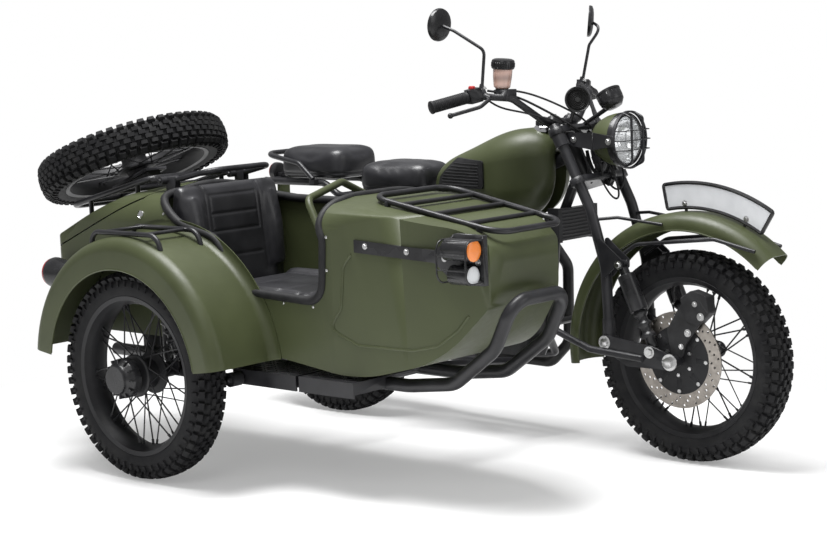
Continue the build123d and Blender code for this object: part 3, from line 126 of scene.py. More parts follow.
class Finish:
    """A material made of nodes, on the coordinates of the piece that it covers."""

    def __init__(self, name, colour, roughness, metallic=0.0, **fixed):
        self.material = bpy.data.materials.new(name)
        self.material.use_nodes = True
        self.tree = self.material.node_tree
        self.shader = self.tree.nodes["Principled BSDF"]
        fixed.update(Base_Color=(*colour, 1), Roughness=roughness, Metallic=metallic)
        for socket, value in fixed.items():
            self.shader.inputs[socket.replace("_", " ")].default_value = value
        self.place = self.node("TexCoord").outputs["Object"]

    def node(self, kind, settings=None, values=None):
        """Adds a node to this material."""
        return add_node(self.tree, kind, settings, values)

    def stretched(self, scale):
        """The piece's coordinates, scaled along Y."""
        values = {"Vector": self.place, "Scale": (1.0, scale, 1.0)}
        return self.node("Mapping", None, values).outputs["Vector"]

    def texture(self, kind, output, settings=None, place=None, **values):
        """One of the built-in textures, on the piece's coordinates or on others."""
        values["Vector"] = place or self.place
        return Value(self, self.node("Tex" + kind, settings, values).outputs[output])

    def noise(self, scale, detail=3.0, rough=0.5, place=None):
        """Soft cloudy variation between 0 and 1."""
        return self.texture("Noise", "Fac", place=place, Scale=scale, Detail=detail, Roughness=rough)

    def mixed(self, first, second, factor):
        """A colour between two, by a factor."""
        first, second = [(*value, 1) if isinstance(value, tuple) else value for value in (first, second)]
        return self.node("Mix", {"data_type": "RGBA"}, {"Factor": factor, 6: first, 7: second}).outputs[2]

    def paint(self, socket, value):
        """Feeds one of the shader's own sockets."""
        feed(self.tree, self.shader.inputs[socket], value)

    def relief(self, height, strength, distance):
        """Raises the surface by a height between 0 and 1."""
        values = {"Height": height, "Strength": strength, "Distance": distance}
        self.paint("Normal", self.node("Bump", None, values).outputs["Normal"])


# ---- finishes ----
def toned(colour, factor, lift=0.0):
    """A colour made lighter or darker."""
    return tuple(channel * factor + lift for channel in colour)


def matt_paint(name, colour, roughness=0.42):
    """Sprayed paint: soft blotches of tone, a fine orange peel and rubbed edges."""
    finish = Finish(name, colour, roughness, Specular_IOR_Level=0.3)
    blotch = finish.noise(5.0, 4.0)
    dust = finish.noise(60.0, 2.0)
    tone = finish.mixed(toned(colour, 0.86), toned(colour, 1.16, 0.002), blotch.over(0.3, 0.7))
    edges = Value(finish, finish.node("NewGeometry").outputs["Pointiness"]).over(0.52, 0.62)
    finish.paint("Base Color", finish.mixed(tone, toned(colour, 1.5, 0.01), edges * 0.35))
    finish.paint("Roughness", roughness + (dust - 0.5) * 0.16 + (blotch - 0.5) * 0.1)
    finish.relief(finish.noise(900.0, 2.0), 0.12, 0.0004)
    return finish.material


def coat(name, dark, light, band, cloud, roughness, swing, grain, shine, metallic=0.0):
    """An even coat: clouds of two tones that also vary its roughness by a swing, over a fine grain.

    Clouds are (scale, detail, roughness of the noise); grain is (scale, detail, strength, distance).
    """
    finish = Finish(name, dark, roughness, metallic, Specular_IOR_Level=shine)
    clouds = finish.noise(*cloud)
    finish.paint("Base Color", finish.mixed(dark, light, clouds.over(*band)))
    finish.paint("Roughness", roughness + (clouds - 0.5) * swing)
    if grain:
        finish.relief(finish.noise(*grain[:2]), *grain[2:])
    return finish.material


def satin_black(name, colour, roughness=0.36, grain=700.0, depth=0.12):
    """Powder coat: nearly even, with a fine pebbled skin."""
    light, grain = toned(colour, 1.9, 0.004), (grain, 2.0, depth, 0.0003)
    return coat(name, colour, light, (0.35, 0.8), (14.0, 3.0), roughness, 0.22, grain, 0.32)


def cast_metal(name, colour, roughness=0.55):
    """Sand-cast metal under black heat paint."""
    light, grain = toned(colour, 1.7, 0.004), (380.0, 3.0, 0.3, 0.0005)
    return coat(name, colour, light, (0.4, 0.8), (26.0, 4.0), roughness, 0.2, grain, 0.35, 0.2)


def seat_vinyl():
    """Black grained vinyl with a soft sheen."""
    finish = Finish("seat vinyl", (0.012, 0.012, 0.014), 0.34)
    grain = finish.texture("Voronoi", "Distance", Scale=420.0)
    fold = finish.noise(9.0, 3.0)
    dark, light = (0.010, 0.010, 0.012), (0.024, 0.024, 0.027)
    finish.paint("Base Color", finish.mixed(dark, light, fold.over(0.35, 0.75)))
    finish.paint("Roughness", 0.28 + fold * 0.1 + grain * 0.1)
    finish.relief(grain * 0.7 + finish.noise(160.0, 3.0) * 0.5, 0.16, 0.0006)
    return finish.material


def metal(name, colour, roughness, brushed=0.0, grime=0.3):
    """Bare or plated metal, finely brushed, with a little grime."""
    finish = Finish(name, colour, roughness, 1.0)
    cloud = finish.noise(45.0, 4.0)
    lines = finish.noise(60.0, 2.0, place=finish.stretched(30.0))
    finish.paint("Base Color", finish.mixed(toned(colour, 1 - grime), colour, cloud.over(0.25, 0.6)))
    finish.paint("Roughness", roughness + (cloud - 0.5) * 0.16 + (lines - 0.5) * brushed)
    finish.relief(finish.noise(500.0, 2.0), 0.06, 0.0002)
    return finish.material


def lens(name, colour, glow, ribs=220.0):
    """Moulded lens plastic with fine ribs inside, glowing by a given strength: on a lamp that is its lamp
    light, on anything else it is painted light.
    """
    finish = Finish(name, colour, 0.12, Specular_IOR_Level=0.6, Coat_Weight=0.6, Emission_Strength=glow)
    finish.paint("Emission Color", (*colour, 1))
    ripple = finish.texture("Wave", "Fac", {"bands_direction": "Z"}, Scale=ribs)
    finish.paint("Base Color", finish.mixed(toned(colour, 0.55), colour, ripple))
    finish.relief(ripple, 0.35, 0.0006)
    return finish.material


def clear_glass():
    """A clear cover, seen through, with bright reflections."""
    fixed = {"Specular_IOR_Level": 0.7, "Coat_Weight": 1.0, "Alpha": 0.22}
    finish = Finish("clear glass", (0.93, 0.95, 0.96), 0.03, **fixed)
    finish.paint("Roughness", 0.02 + finish.noise(30.0, 3.0) * 0.05)
    return finish.material


PAINT = matt_paint("olive paint", (0.042, 0.050, 0.021))
FRAME_BLACK = satin_black("frame black", (0.012, 0.012, 0.0135))
WHEEL_BLACK = satin_black("wheel black", (0.008, 0.008, 0.009), 0.5)
TYRE = coat(
    "tyre rubber", (0.007, 0.007, 0.008), (0.020, 0.020, 0.020), (0.42, 0.8), (22.0, 5.0, 0.6), 0.75, 0.22,
    (420.0, 3.0, 0.25, 0.0005), 0.22,
)
RUBBER = coat(
    "black rubber", (0.008, 0.008, 0.009), (0.018, 0.018, 0.019), (0.4, 0.8), (30.0, 3.0), 0.6, 0.2,
    (650.0, 2.0, 0.2, 0.0004), 0.28,
)
VINYL = seat_vinyl()
DISC_STEEL = metal("brake disc steel", (0.36, 0.33, 0.30), 0.34, 0.3)
CHROME = metal("bright plating", (0.72, 0.72, 0.74), 0.12, 0.05, 0.12)
BOLT_STEEL = metal("bolt steel", (0.55, 0.55, 0.55), 0.3, 0.1)
ALLOY = metal("cast alloy", (0.42, 0.42, 0.43), 0.45, 0.1)
CHAIN_STEEL = metal("chain steel", (0.2, 0.19, 0.18), 0.45, 0.1)
ENGINE_BLACK = cast_metal("engine black", (0.018, 0.018, 0.019))
EXHAUST_BLACK = cast_metal("exhaust black", (0.014, 0.014, 0.014), 0.48)
DAMPER_BLACK = satin_black("damper black", (0.012, 0.012, 0.013), 0.3)
GLOSS_BLACK = satin_black("moulded black", (0.012, 0.012, 0.013), 0.26, 900.0, 0.05)
AMBER = lens("amber lens", (0.85, 0.22, 0.01), 0.12)
RED = lens("red lens", (0.30, 0.008, 0.012), 0.02)
WHITE_LENS = lens("clear lens", (0.72, 0.74, 0.76), 0.05)
GLASS = clear_glass()
PLATE_WHITE = coat(
    "white enamel", (0.54, 0.55, 0.57), (0.62, 0.63, 0.65), (0.3, 0.7), (20.0, 3.0), 0.375, 0.15, None, 0.4
)
MIRROR = metal("silvered glass", (0.86, 0.87, 0.88), 0.05, 0.0, 0.05)
# painted light: the fluid cup is no lamp, yet it glows faintly in its own colour
FLUID = lens("fluid cup", (0.56, 0.36, 0.30), 0.03, 9.0)
SWITCH_RED = satin_black("switch red", (0.30, 0.02, 0.02), 0.35)
DIAL = satin_black("dial black", (0.010, 0.010, 0.011), 0.5)

# the finish of each slot whose nodes keep their own shape
SLOT_FINISH = {
    "olive_paint": PAINT, "frame_black": FRAME_BLACK, "cooler_black": FRAME_BLACK, "gauge": GLOSS_BLACK,
    "lamp_housing": GLOSS_BLACK, "damper_black": DAMPER_BLACK, "caliper_black": ENGINE_BLACK,
    "engine_black": ENGINE_BLACK, "exhaust_black": EXHAUST_BLACK, "cast_alloy": ALLOY,
    "chain_steel": CHAIN_STEEL, "pad_rubber": RUBBER,
}


# ---- meshes ----
def helper(data, name="helper"):
    """An object in the scene, some only to carry modifiers for a moment."""
    thing = bpy.data.objects.new(name, data)
    bpy.context.scene.collection.objects.link(thing)
    return thing


def evaluated(source):
    """The mesh of an object with its modifiers applied."""
    graph = bpy.context.evaluated_depsgraph_get()
    return bpy.data.meshes.new_from_object(source.evaluated_get(graph), depsgraph=graph)


def baked(source):
    """The evaluated mesh of a helper object, which is then removed."""
    mesh = evaluated(source)
    bpy.data.objects.remove(source)
    return mesh


def given(mesh, material):
    """Gives a mesh one material."""
    mesh.materials.clear()
    mesh.materials.append(material)
    return mesh


def fitting(name, parts, body, slot):
    """Joins meshes, where there are several, into a finished piece that rides on a body."""
    mesh = joined(parts) if isinstance(parts, list) else parts
    mesh.name = name
    piece = helper(mesh, name)
    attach(piece, body)
    return piece


def stand_in(name, parts, node):
    """A finished piece in the place of a node, on its body."""
    piece = fitting(name, parts, BODY_OF[node], NODE_SLOT[node])
    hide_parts(node)
    return piece


def edited(mesh, change):
    """Changes a mesh by a function of its editable form."""
    shape = bmesh.new()
    shape.from_mesh(mesh)
    change(shape)
    shape.to_mesh(mesh)
    shape.free()
    return mesh


def merged(mesh, distance=0.00002):
    """Makes doubled points one."""
    return edited(mesh, lambda shape: bmesh.ops.remove_doubles(shape, verts=shape.verts, dist=distance))


def bevelled(mesh, bevel):
    """Rounds the sharp edges, where a bevel is given."""

    def change(shape):
        rim = [edge for edge in shape.edges if edge.calc_face_angle(0) > radians(50)]
        bmesh.ops.bevel(shape, geom=rim, offset=bevel * MILLIMETRE, segments=2, affect="EDGES", profile=0.5)

    return edited(mesh, change) if bevel else mesh


def smoothed(mesh, degrees=32.0):
    """Smooth shading, with the edges sharper than an angle kept hard."""
    mesh.shade_smooth()
    mesh.set_sharp_from_angle(angle=radians(degrees))
    return mesh


def dressed(node):
    """Replaces a node by a merged, smoothly shaded copy of itself."""
    thing = helper(smoothed(merged(frame["nodes"][node].data.copy())))
    thing.modifiers.new("even shading", "WEIGHTED_NORMAL").keep_sharp = True
    stand_in(node + "_panel", given(baked(thing), SLOT_FINISH[NODE_SLOT[node]]), node)


def from_lists(vertices, faces):
    """A mesh from points in metres and faces, its normals made to point outwards."""
    mesh = bpy.data.meshes.new("shape")
    mesh.from_pydata([tuple(v) for v in vertices], [], faces)
    merged(mesh, 0.000005)
    return edited(mesh, lambda shape: bmesh.ops.recalc_face_normals(shape, faces=shape.faces))


def turned(profile, material, segments=64, closed=False, degrees=32.0):
    """A ring or knob about the Y axis. The profile holds (along Y, radius)."""
    vertices, faces = [], []
    count = len(profile)
    for step in range(segments):
        angle = tau * step / segments
        for along, radius in profile:
            size = radius * MILLIMETRE
            vertices.append((size * cos(angle), along * MILLIMETRE, size * sin(angle)))
        here, there = step * count, (step + 1) % segments * count
        for index in range(count if closed else count - 1):
            following = (index + 1) % count
            faces.append((here + index, here + following, there + following, there + index))
    return given(smoothed(from_lists(vertices, faces), degrees), material)


def block(x, y, z, material, taper=1.0, bevel=0.0):
    """A box between limits, narrower at the top by a taper, its edges bevelled."""
    vertices = []
    for height, share in ((z[0], 1.0), (z[1], taper)):
        for side_x, side_y in ((-1, -1), (1, -1), (1, 1), (-1, 1)):
            across = sum(y) / 2 + side_y * (y[1] - y[0]) / 2 * share
            along = sum(x) / 2 + side_x * (x[1] - x[0]) / 2 * share
            vertices.append((along * MILLIMETRE, across * MILLIMETRE, height * MILLIMETRE))
    faces = [(0, 3, 2, 1), (4, 5, 6, 7), (0, 1, 5, 4), (1, 2, 6, 5), (2, 3, 7, 6), (3, 0, 4, 7)]
    return given(smoothed(bevelled(from_lists(vertices, faces), bevel), 40), material)


def prism(outline, depth, material, bevel=0.0):
    """A flat shape given a thickness by moving its outline along a vector, both in metres."""
    outline = [Vector(p) for p in outline]
    count = len(outline)
    vertices = outline + [p + Vector(depth) for p in outline]
    faces = [tuple(range(count)), tuple(range(count, 2 * count))]
    faces += [(i, (i + 1) % count, count + (i + 1) % count, count + i) for i in range(count)]
    return given(smoothed(bevelled(from_lists(vertices, faces), bevel), 35), material)


def placed(mesh, matrix):
    """Moves a mesh's points by a matrix."""
    mesh.transform(matrix)
    return mesh


def moved(mesh, place):
    """Moves a mesh by a vector in metres."""
    return placed(mesh, Matrix.Translation(place))


def joined(meshes):
    """One mesh made of several, with their materials kept."""
    things = [helper(mesh) for mesh in meshes]
    with bpy.context.temp_override(
        active_object=things[0], selected_objects=things, selected_editable_objects=things
    ):
        bpy.ops.object.join()
    mesh = things[0].data
    bpy.data.objects.remove(things[0])
    return mesh


def upright(origin, direction):
    """A matrix that carries the Y axis to a direction at a place."""
    along = Vector(direction).normalized()
    other = Vector((1, 0, 0)) if abs(along.y) > 0.95 else Vector((0, 1, 0))
    across = along.cross(other).normalized()
    turn = Matrix((across, along, across.cross(along).normalized())).transposed()
    return Matrix.Translation(origin) @ turn.to_4x4()


def knob(profile, place, direction, material, segments=32, closed=False):
    """A turned form, standing at a place along a direction. The profile holds (height, radius)."""
    return placed(turned(profile, material, segments, closed), upright(place, direction))


def knobs(place, direction, *forms):
    """Turned forms on one axis, each given as the profile, material, segments and whether it is closed."""
    return [knob(profile, place, direction, *rest) for profile, *rest in forms]


def bolt(place, direction, radius=6, height=5, washer=True):
    """A hexagon head on its washer."""
    head = ((-2, 0), (-2, radius), (height - 1, radius), (height, radius * 0.86), (height, 0))
    ring = ((-2, 0), (-2, radius * 1.5), (1, radius * 1.45), (1, 0))
    forms = [(head, BOLT_STEEL, 6), (ring, BOLT_STEEL, 20)]
    return knobs(place, direction, *forms[: 1 + washer])


def swept(kind, path, radius, material, sides, degrees, cyclic=False):
    """A round bar along a path in metres, made of straight runs (POLY) or of one smooth curve (NURBS)."""
    curve = bpy.data.curves.new("path", "CURVE")
    curve.dimensions = "3D"
    curve.bevel_depth = radius * MILLIMETRE
    curve.bevel_resolution = max(0, sides // 4 - 1)
    curve.use_fill_caps = True
    curve.resolution_u = 6
    spline = curve.splines.new(kind)
    spline.points.add(len(path) - 1)
    for point, place in zip(spline.points, path):
        point.co = (*place, 1)
    spline.use_cyclic_u = cyclic
    spline.order_u = 4
    spline.use_endpoint_u = True
    return given(smoothed(baked(helper(curve)), degrees), material)


def tube(points, radius, material, sides=12, cyclic=False, bend=0.0):
    """A round bar along points, each inner corner rounded by a bend radius."""
    path = rounded(points, bend * MILLIMETRE) if bend else points
    return swept("POLY", path, radius, material, sides, 40, cyclic)


def hose(points, radius, material):
    """A flexible line of one smooth curve through the neighbourhood of its points."""
    return swept("NURBS", points, radius, material, 8, 50)


def rounded(points, bend, cyclic=False, steps=6):
    """A path whose corners are rounded by one radius, or each by its own, as far as its runs allow."""
    points = [Vector(p) for p in points]
    path = []
    count = len(points)
    bends = bend if isinstance(bend, tuple) else (bend,) * count
    for index, corner in enumerate(points):
        if not cyclic and index in (0, count - 1):
            path.append(corner)
            continue
        into, out = points[index - 1] - corner, points[(index + 1) % count] - corner
        half = into.angle(out) / 2
        reach = min(bends[index] / max(0.05, abs(tan(half))), into.length * 0.48, out.length * 0.48)
        start, end = corner + into.normalized() * reach, corner + out.normalized() * reach
        for step in range(steps + 1):
            share = step / steps
            path.append(start.lerp(corner, share).lerp(corner.lerp(end, share), share))
    return path


def drawn(corners, bend, step):
    """Points no further apart than a step, along an outline in X and Z millimetres with rounded corners."""
    path = rounded([(x, 0, z) for x, z in corners], bend)
    points = [path[0]]
    for before, after in zip(path, path[1:]):
        count = max(1, int((after - before).length / step + 0.5))
        points += [before.lerp(after, (index + 1) / count) for index in range(count)]
    return points


def copies_tree():
    """Geometry nodes that set copies of a shape on a grid of points, turn them and make them real.

    Each copy is turned by one turn and by a step more than the copy before it.
    """
    tree = bpy.data.node_groups.new("copies", "GeometryNodeTree")
    for name, kind in (
        ("Geometry", "Geometry"), ("Shape", "Object"), ("Columns", "Int"), ("Rows", "Int"),
        ("Length", "Float"), ("Width", "Float"), ("Turn", "Vector"), ("Step", "Vector"),
        ("Finish", "Material"),
    ):
        tree.interface.new_socket(name, in_out="INPUT", socket_type="NodeSocket" + kind)
    tree.interface.new_socket("Geometry", in_out="OUTPUT", socket_type="NodeSocketGeometry")
    into = add_node(tree, "NodeGroupInput").outputs
    sockets = {
        "Vertices X": into["Columns"], "Vertices Y": into["Rows"], "Size X": into["Length"],
        "Size Y": into["Width"],
    }
    points = add_node(tree, "GeometryNodeMeshGrid", None, sockets)
    shape = add_node(tree, "GeometryNodeObjectInfo", None, {"Object": into["Shape"]})
    index = add_node(tree, "GeometryNodeInputIndex")
    sockets = {0: index.outputs[0], 1: into["Step"], 2: into["Turn"]}
    turn = add_node(tree, "VectorMath", {"operation": "MULTIPLY_ADD"}, sockets)
    sockets = {"Points": points.outputs[0], "Instance": shape.outputs["Geometry"]}
    sockets["Rotation"] = turn.outputs[0]
    copies = add_node(tree, "GeometryNodeInstanceOnPoints", None, sockets)
    real = add_node(tree, "GeometryNodeRealizeInstances", None, {"Geometry": copies.outputs[0]})
    sockets = {"Geometry": real.outputs[0], "Material": into["Finish"]}
    finish = add_node(tree, "GeometryNodeSetMaterial", None, sockets)
    add_node(tree, "NodeGroupOutput", None, {"Geometry": finish.outputs[0]})
    return tree


COPIES_TREE = copies_tree()


def copied_out(mesh, turn, step, columns, rows=1, length=0.0, width=0.0):
    """A shape repeated by geometry nodes, as one plain mesh of the same material."""
    pattern = helper(mesh)
    inputs = {
        "Shape": pattern, "Columns": columns, "Rows": rows, "Length": length, "Width": width, "Turn": turn,
        "Step": step, "Finish": mesh.materials[0],
    }
    holder = helper(bpy.data.meshes.new("holder"))
    field = holder.modifiers.new("copies", "NODES")
    field.node_group = COPIES_TREE
    for item in COPIES_TREE.interface.items_tree:
        if item.in_out == "INPUT" and item.name in inputs:
            field[item.identifier] = inputs[item.name]
    result = baked(holder)
    bpy.data.objects.remove(pattern)
    return result


def repeated(mesh, count, turn=0.0):
    """A shape repeated evenly round the Y axis."""
    return smoothed(copied_out(mesh, (0, turn, 0), (0, tau / count, 0), count))


# ---- camera, light and floor ----
def set_camera():
    """The camera stands low ahead on the sidecar's side."""
    camera = bpy.data.cameras.new("camera")
    camera.lens = 82.81
    camera.sensor_width = 36.0
    camera.clip_end = 60.0
    yaw, pitch, roll = 0.726707, 0.130157, -0.0374036
    ahead = Vector((-sin(yaw) * cos(pitch), cos(yaw) * cos(pitch), -sin(pitch)))
    right = Vector((cos(yaw), sin(yaw), 0))
    up = right.cross(ahead)
    axes = (right * cos(roll) + up * sin(roll), up * cos(roll) - right * sin(roll), -ahead)
    eye = helper(camera, "camera")
    eye.matrix_world = Matrix.Translation(at(3173.8, -4849.6, 1356.9)) @ Matrix(axes).transposed().to_4x4()
    bpy.context.scene.camera = eye


def set_light():
    """White surroundings that light less than they show, and three soft square lamps."""
    world = bpy.data.worlds.new("studio")
    bpy.context.scene.world = world
    world.use_nodes = True
    tree = world.node_tree
    tree.nodes.clear()
    seen = add_node(tree, "LightPath").outputs["Is Camera Ray"]
    lit, plain = [
        add_node(tree, "Background", None, {"Color": (1, 1, 1, 1), "Strength": strength}).outputs[0]
        for strength in (0.37, 1.0)
    ]
    mix = add_node(tree, "MixShader", None, {0: seen, 1: lit, 2: plain})
    add_node(tree, "OutputWorld", None, {"Surface": mix.outputs[0]})
    for name, place, target, size, power in (
        ("key", (2.6, -4.2, 4.4), (0, -0.2, 0.5), 2.6, 45),
        ("top", (-0.3, -0.6, 4.9), (0, 0, 0.4), 2.6, 480),
        ("front", (4.8, 0.5, 2.2), (0.2, 0, 0.6), 2.5, 42),
    ):
        light = bpy.data.lights.new(name, "AREA")
        light.shape, light.size, light.energy = "SQUARE", size, power
        thing = helper(light, name)
        thing.location = place
        thing.rotation_euler = (Vector(target) - Vector(place)).to_track_quat("-Z", "Y").to_euler()


def set_floor():
    """A plain pale floor that keeps the shadow near the wheels and turns white further out."""
    near, far, glow_near, size = 1.05, 2.1, 0.28, 40.0
    mesh = bpy.data.meshes.new("floor")
    corners = [(x * size, y * size, 0) for x, y in ((-1, -1), (1, -1), (1, 1), (-1, 1))]
    mesh.from_pydata(corners, [], [(0, 1, 2, 3)])
    finish = Finish("floor white", (0.9, 0.9, 0.9), 0.8, Specular_IOR_Level=0.1)
    finish.paint("Base Color", finish.mixed((0.90, 0.90, 0.90), (0.93, 0.93, 0.93), finish.noise(3.0, 2.0)))
    glow = finish.node("Emission", None, {"Color": (1, 1, 1, 1), "Strength": 1.0})
    oval = finish.node("VectorMath", {"operation": "LENGTH"}, {0: finish.stretched(1.3)})
    away = Value(finish, oval.outputs["Value"]).over(near, far)
    seen = Value(finish, finish.node("LightPath").outputs["Is Camera Ray"])
    shine = seen * (glow_near + away * (1 - glow_near))
    mix = finish.node("MixShader", None, {0: shine, 1: finish.shader.outputs[0], 2: glow.outputs[0]})
    feed(finish.tree, finish.tree.nodes["Material Output"].inputs["Surface"], mix.outputs[0])
    helper(given(mesh, finish.material), "floor")


set_camera()
set_light()
set_floor()
bpy.context.scene.view_settings.view_transform = "Standard"


# ---- tyres and wheels ----
def tyre_mesh():
    """A knobbly tyre: rounded carcass, staggered blocks, shoulder lugs and side ribs."""
    crown, half, wall, bead = TYRE_RADIUS - 9, TYRE_SIZE.y / 2 - 3, 270, 239
    outline = [(40, bead), (46.5, bead + 6), (49.5, bead + 16)]
    for step in range(15):
        angle = pi * step / 14
        outline.append((half * cos(angle), wall + (crown - wall) * sin(angle) ** 0.8))
    outline += [(-49.5, bead + 16), (-46.5, bead + 6), (-40, bead)]
    parts = [turned(outline, TYRE, 120, True, 50)]
    pitches = 56
    # block row: across, width, length round the tyre, share of a pitch
    for across, width, length, share in (
        (8.5, 15, 26, 0.0), (-8.5, 15, 26, 0.5), (25.5, 14, 24, 0.45), (-25.5, 14, 24, 0.95),
    ):
        top = TYRE_RADIUS - 0.5 - abs(across) * 0.16
        sides = (across - width / 2, across + width / 2)
        lug = block((-length / 2, length / 2), sides, (top - 14, top), TYRE, 0.86)
        parts.append(repeated(lug, pitches, tau * share / pitches))
    for side in (-1, 1):
        # reach each way round the tyre, foot, top, taper, across, depth under the tread, lean
        for reach, foot, top, taper, across, under, lean in (
            (12.5, -12, 7, 0.82, 44.5, 18.5, 42), (4.5, -4, 3, 0.8, 53.5, 40, 80),
        ):
            lug = placed(
                block((-reach, reach), (-10, 10), (foot, top), TYRE, taper),
                Matrix.Rotation(-side * radians(lean), 4, "X"),
            )
            moved(lug, span(0, side * across, TYRE_RADIUS - under))
            parts.append(repeated(lug, pitches, tau * 0.22 * side / pitches))
    return joined(parts)


def spoke_set():
    """Round crossed spokes with their nipples at the rim."""
    parts = []
    per_side, flange, rim, lead = 18, 58, 221.5, 48
    for side in (-1, 1):
        for way in (-1, 1):
            at_hub = radians(360 / per_side * 0.25 * side)
            if way > 0:
                at_hub += radians(360 / per_side)
            at_rim = at_hub + radians(lead * way)
            start = span(flange * cos(at_hub), 34 * side, flange * sin(at_hub))
            end = span(rim * cos(at_rim), 10 * side, rim * sin(at_rim))
            nipple = end - (end - start).normalized() * 0.016
            for foot, radius in ((start, 2.5), (nipple, 4.2)):
                parts.append(repeated(tube((foot, end), radius, WHEEL_BLACK, 6), per_side // 2))
    return parts


def both_sides(half):
    """A profile made of its left half, given by distances from the middle, and of its mirror image."""
    return [*[(-along, radius) for along, radius in half], *half[::-1]]


def wheel_mesh(extra=()):
    """Rim, hub and spokes about the Y axis."""
    rim = (
        (17, 220), (30, 227.5), (46, 234), (49, 247.5), (46, 249.5), (43, 247.5), (41, 238.5), (30, 236.5),
        (18, 231),
    )
    hub = (
        (62, 10.1), (62, 30), (58, 34), (44, 36), (42, 62), (38, 66), (32, 66), (29, 60), (22, 46), (0, 42),
    )
    parts = [turned(both_sides(rim), WHEEL_BLACK, 120, True), turned(both_sides(hub), WHEEL_BLACK, 48)]
    return joined([*parts, *spoke_set(), *extra])


def sprocket_mesh():
    """The rear sprocket with its teeth, on its carrier."""
    return [
        turned(((74.5, 34), (74.5, 88), (77.5, 88), (77.5, 34)), CHAIN_STEEL, 84, True),
        repeated(block((-4, 4), (74.5, 77.5), (86, 93.5), CHAIN_STEEL, 0.5), 42),
        turned(((62, 24), (62, 52), (74, 52), (78, 40), (78, 24)), WHEEL_BLACK, 48, True),
    ]


def hub_cap_mesh():
    """The stepped cap over the sidecar hub, with its ring of ribs."""
    outline = (
        (-62, 0), (-62, 60), (-66, 61.5), (-88, 61.5), (-92, 59), (-106, 47.5), (-110, 45), (-117, 44),
        (-119.8, 41), (-119.8, 0),
    )
    rib = block((-2.5, 2.5), (-104, -66), (47, 61.5), GLOSS_BLACK)
    return [turned(outline, GLOSS_BLACK), repeated(rib, 12)]


def make_wheels():
    """Three wheels on their axles, and the spare that lies back by the angle of its carrier."""
    rolling = Matrix.Identity(4)
    lying = Matrix.Rotation(-radians(21), 4, "Y") @ Matrix.Rotation(pi / 2, 4, "X")
    for name, turn, extra in (
        ("front", rolling, ()), ("rear", rolling, sprocket_mesh()), ("sidecar", rolling, hub_cap_mesh()),
        ("spare", lying, ()),
    ):
        move = Matrix.Translation(middle(name + "_tyre")) @ turn
        stand_in(name + "_road_tyre", placed(tyre_mesh(), move), name + "_tyre")
        stand_in(name + "_wire_wheel", placed(wheel_mesh(extra), move), name + "_wheel")


make_wheels()

# ---- nodes that keep their own shape ----
MADE_HERE = (
    "rider_saddle", "pillion_saddle", "seat_cushion", "seat_back", "headlamp", "tail_lamp",
    "sidecar_tail_lamp", "mirrors", "horn", "fuel_cap", "front_brake_disc", "number_plate", "cockpit_rim",
)
for node_name in sorted(frame["nodes"]):
    if node_name not in MADE_HERE and not node_name.endswith(("_tyre", "_wheel")):
        dressed(node_name)


# ---- trim helpers ----
def node_tree(node):
    """A search tree over a node's own mesh, for finding where a ray meets it."""
    mesh = frame["nodes"][node].data
    return BVHTree.FromPolygons([v.co for v in mesh.vertices], [p.vertices for p in mesh.polygons])


def met(tree, start, direction, depth=0.0):
    """Where a ray meets a surface, moved on by a depth in metres, or nothing where it misses."""
    direction = Vector(direction).normalized()
    spot = tree.ray_cast(start, direction)[0]
    return None if spot is None else spot + direction * depth


def shown(tree, side, x, z, depth=0.0):
    """The same, seen from the right (-1) or the left (1) at a place along X and Z."""
    clear_of_all = 1200
    return met(tree, at(x, side * clear_of_all, z), (0, -side, 0), depth)


def right_bolts(node, places):
    """Bolts where a node shows from the right. The places hold X, Z and the radius and height of a bolt."""
    tree, parts = node_tree(node), []
    for x, z, radius, height in places:
        parts += bolt(shown(tree, -1, x, z), (0, -1, 0), radius, height)
    return parts


# ---- lamps ----
def make_headlamp():
    """Painted bowl, black ring, faceted reflector with its bulb, and a domed glass."""
    bowl = (
        (-112, 0), (-111, 20), (-107, 36), (-96, 53), (-80, 65), (-58, 75), (-36, 81), (-14, 84), (-14, 78),
        (-60, 70), (-90, 50), (-100, 0),
    )
    ring = ((-15, 84.2), (2, 84.2), (8, 81), (9, 76), (5, 72.5), (-14, 77))
    reflector = ((2, 74.5), (-14, 70), (-34, 60), (-50, 46), (-60, 30), (-65, 14), (-66, 0))
    bulb = ((-66, 0), (-66, 12), (-48, 12), (-46, 8), (-28, 7), (-24, 0))
    glass = (
        (18, 0), (17, 20), (14.5, 40), (10, 58), (5, 73.5), (2, 73.5), (7, 57), (11.5, 40), (14, 20), (15, 0),
    )
    parts = knobs(
        at(-236, 0, 985), (1, 0, 0),
        (bowl, PAINT, 64), (ring, GLOSS_BLACK, 64, True), (reflector, MIRROR, 28), (bulb, WHITE_LENS, 16),
        (glass, GLASS, 48),
    )
    stand_in("headlamp_unit", parts, "headlamp")
    ears = []
    for side in (-1, 1):
        for x, z in ((-240, 985), (-372, 990)):
            ears += bolt(at(x, side * 90.4, z), (0, side, 0), 7.5, 7)
    fitting("lamp_ear_bolts", ears, "steering", "bright_trim")


def round_lens(place, direction, radius, depth, material):
    """A domed lens in a black bezel."""
    dome = ((-2, 0.95), (depth * 0.5, 0.94), (depth * 0.78, 0.80), (depth * 0.95, 0.46), (depth, 0))
    edge = ((-4, 0.9), (-4, 1), (3, 1), (5, 0.96), (3, 0.9))
    dome, edge = [[(height, share * radius) for height, share in profile] for profile in (dome, edge)]
    return knobs(place, direction, (dome, material, 40), (edge, GLOSS_BLACK, 40, True))


def make_side_lenses():
    """The amber turn lamp over the clear lamp, both facing ahead, with the strip's bolts."""
    parts = round_lens(at(-84, -943, 752), (1, 0, 0), 31.5, 12, AMBER)
    parts += round_lens(at(-92, -939, 683), (1, 0, 0), 27.5, 12, WHITE_LENS)
    places = ((-480, 745), (-335, 735), (-92, 716), (-205, 722))
    parts += right_bolts("side_lamps", [(x, z, 6.5, 5) for x, z in places])
    fitting("side_lamp_lenses", parts, "chassis", "bright_trim")


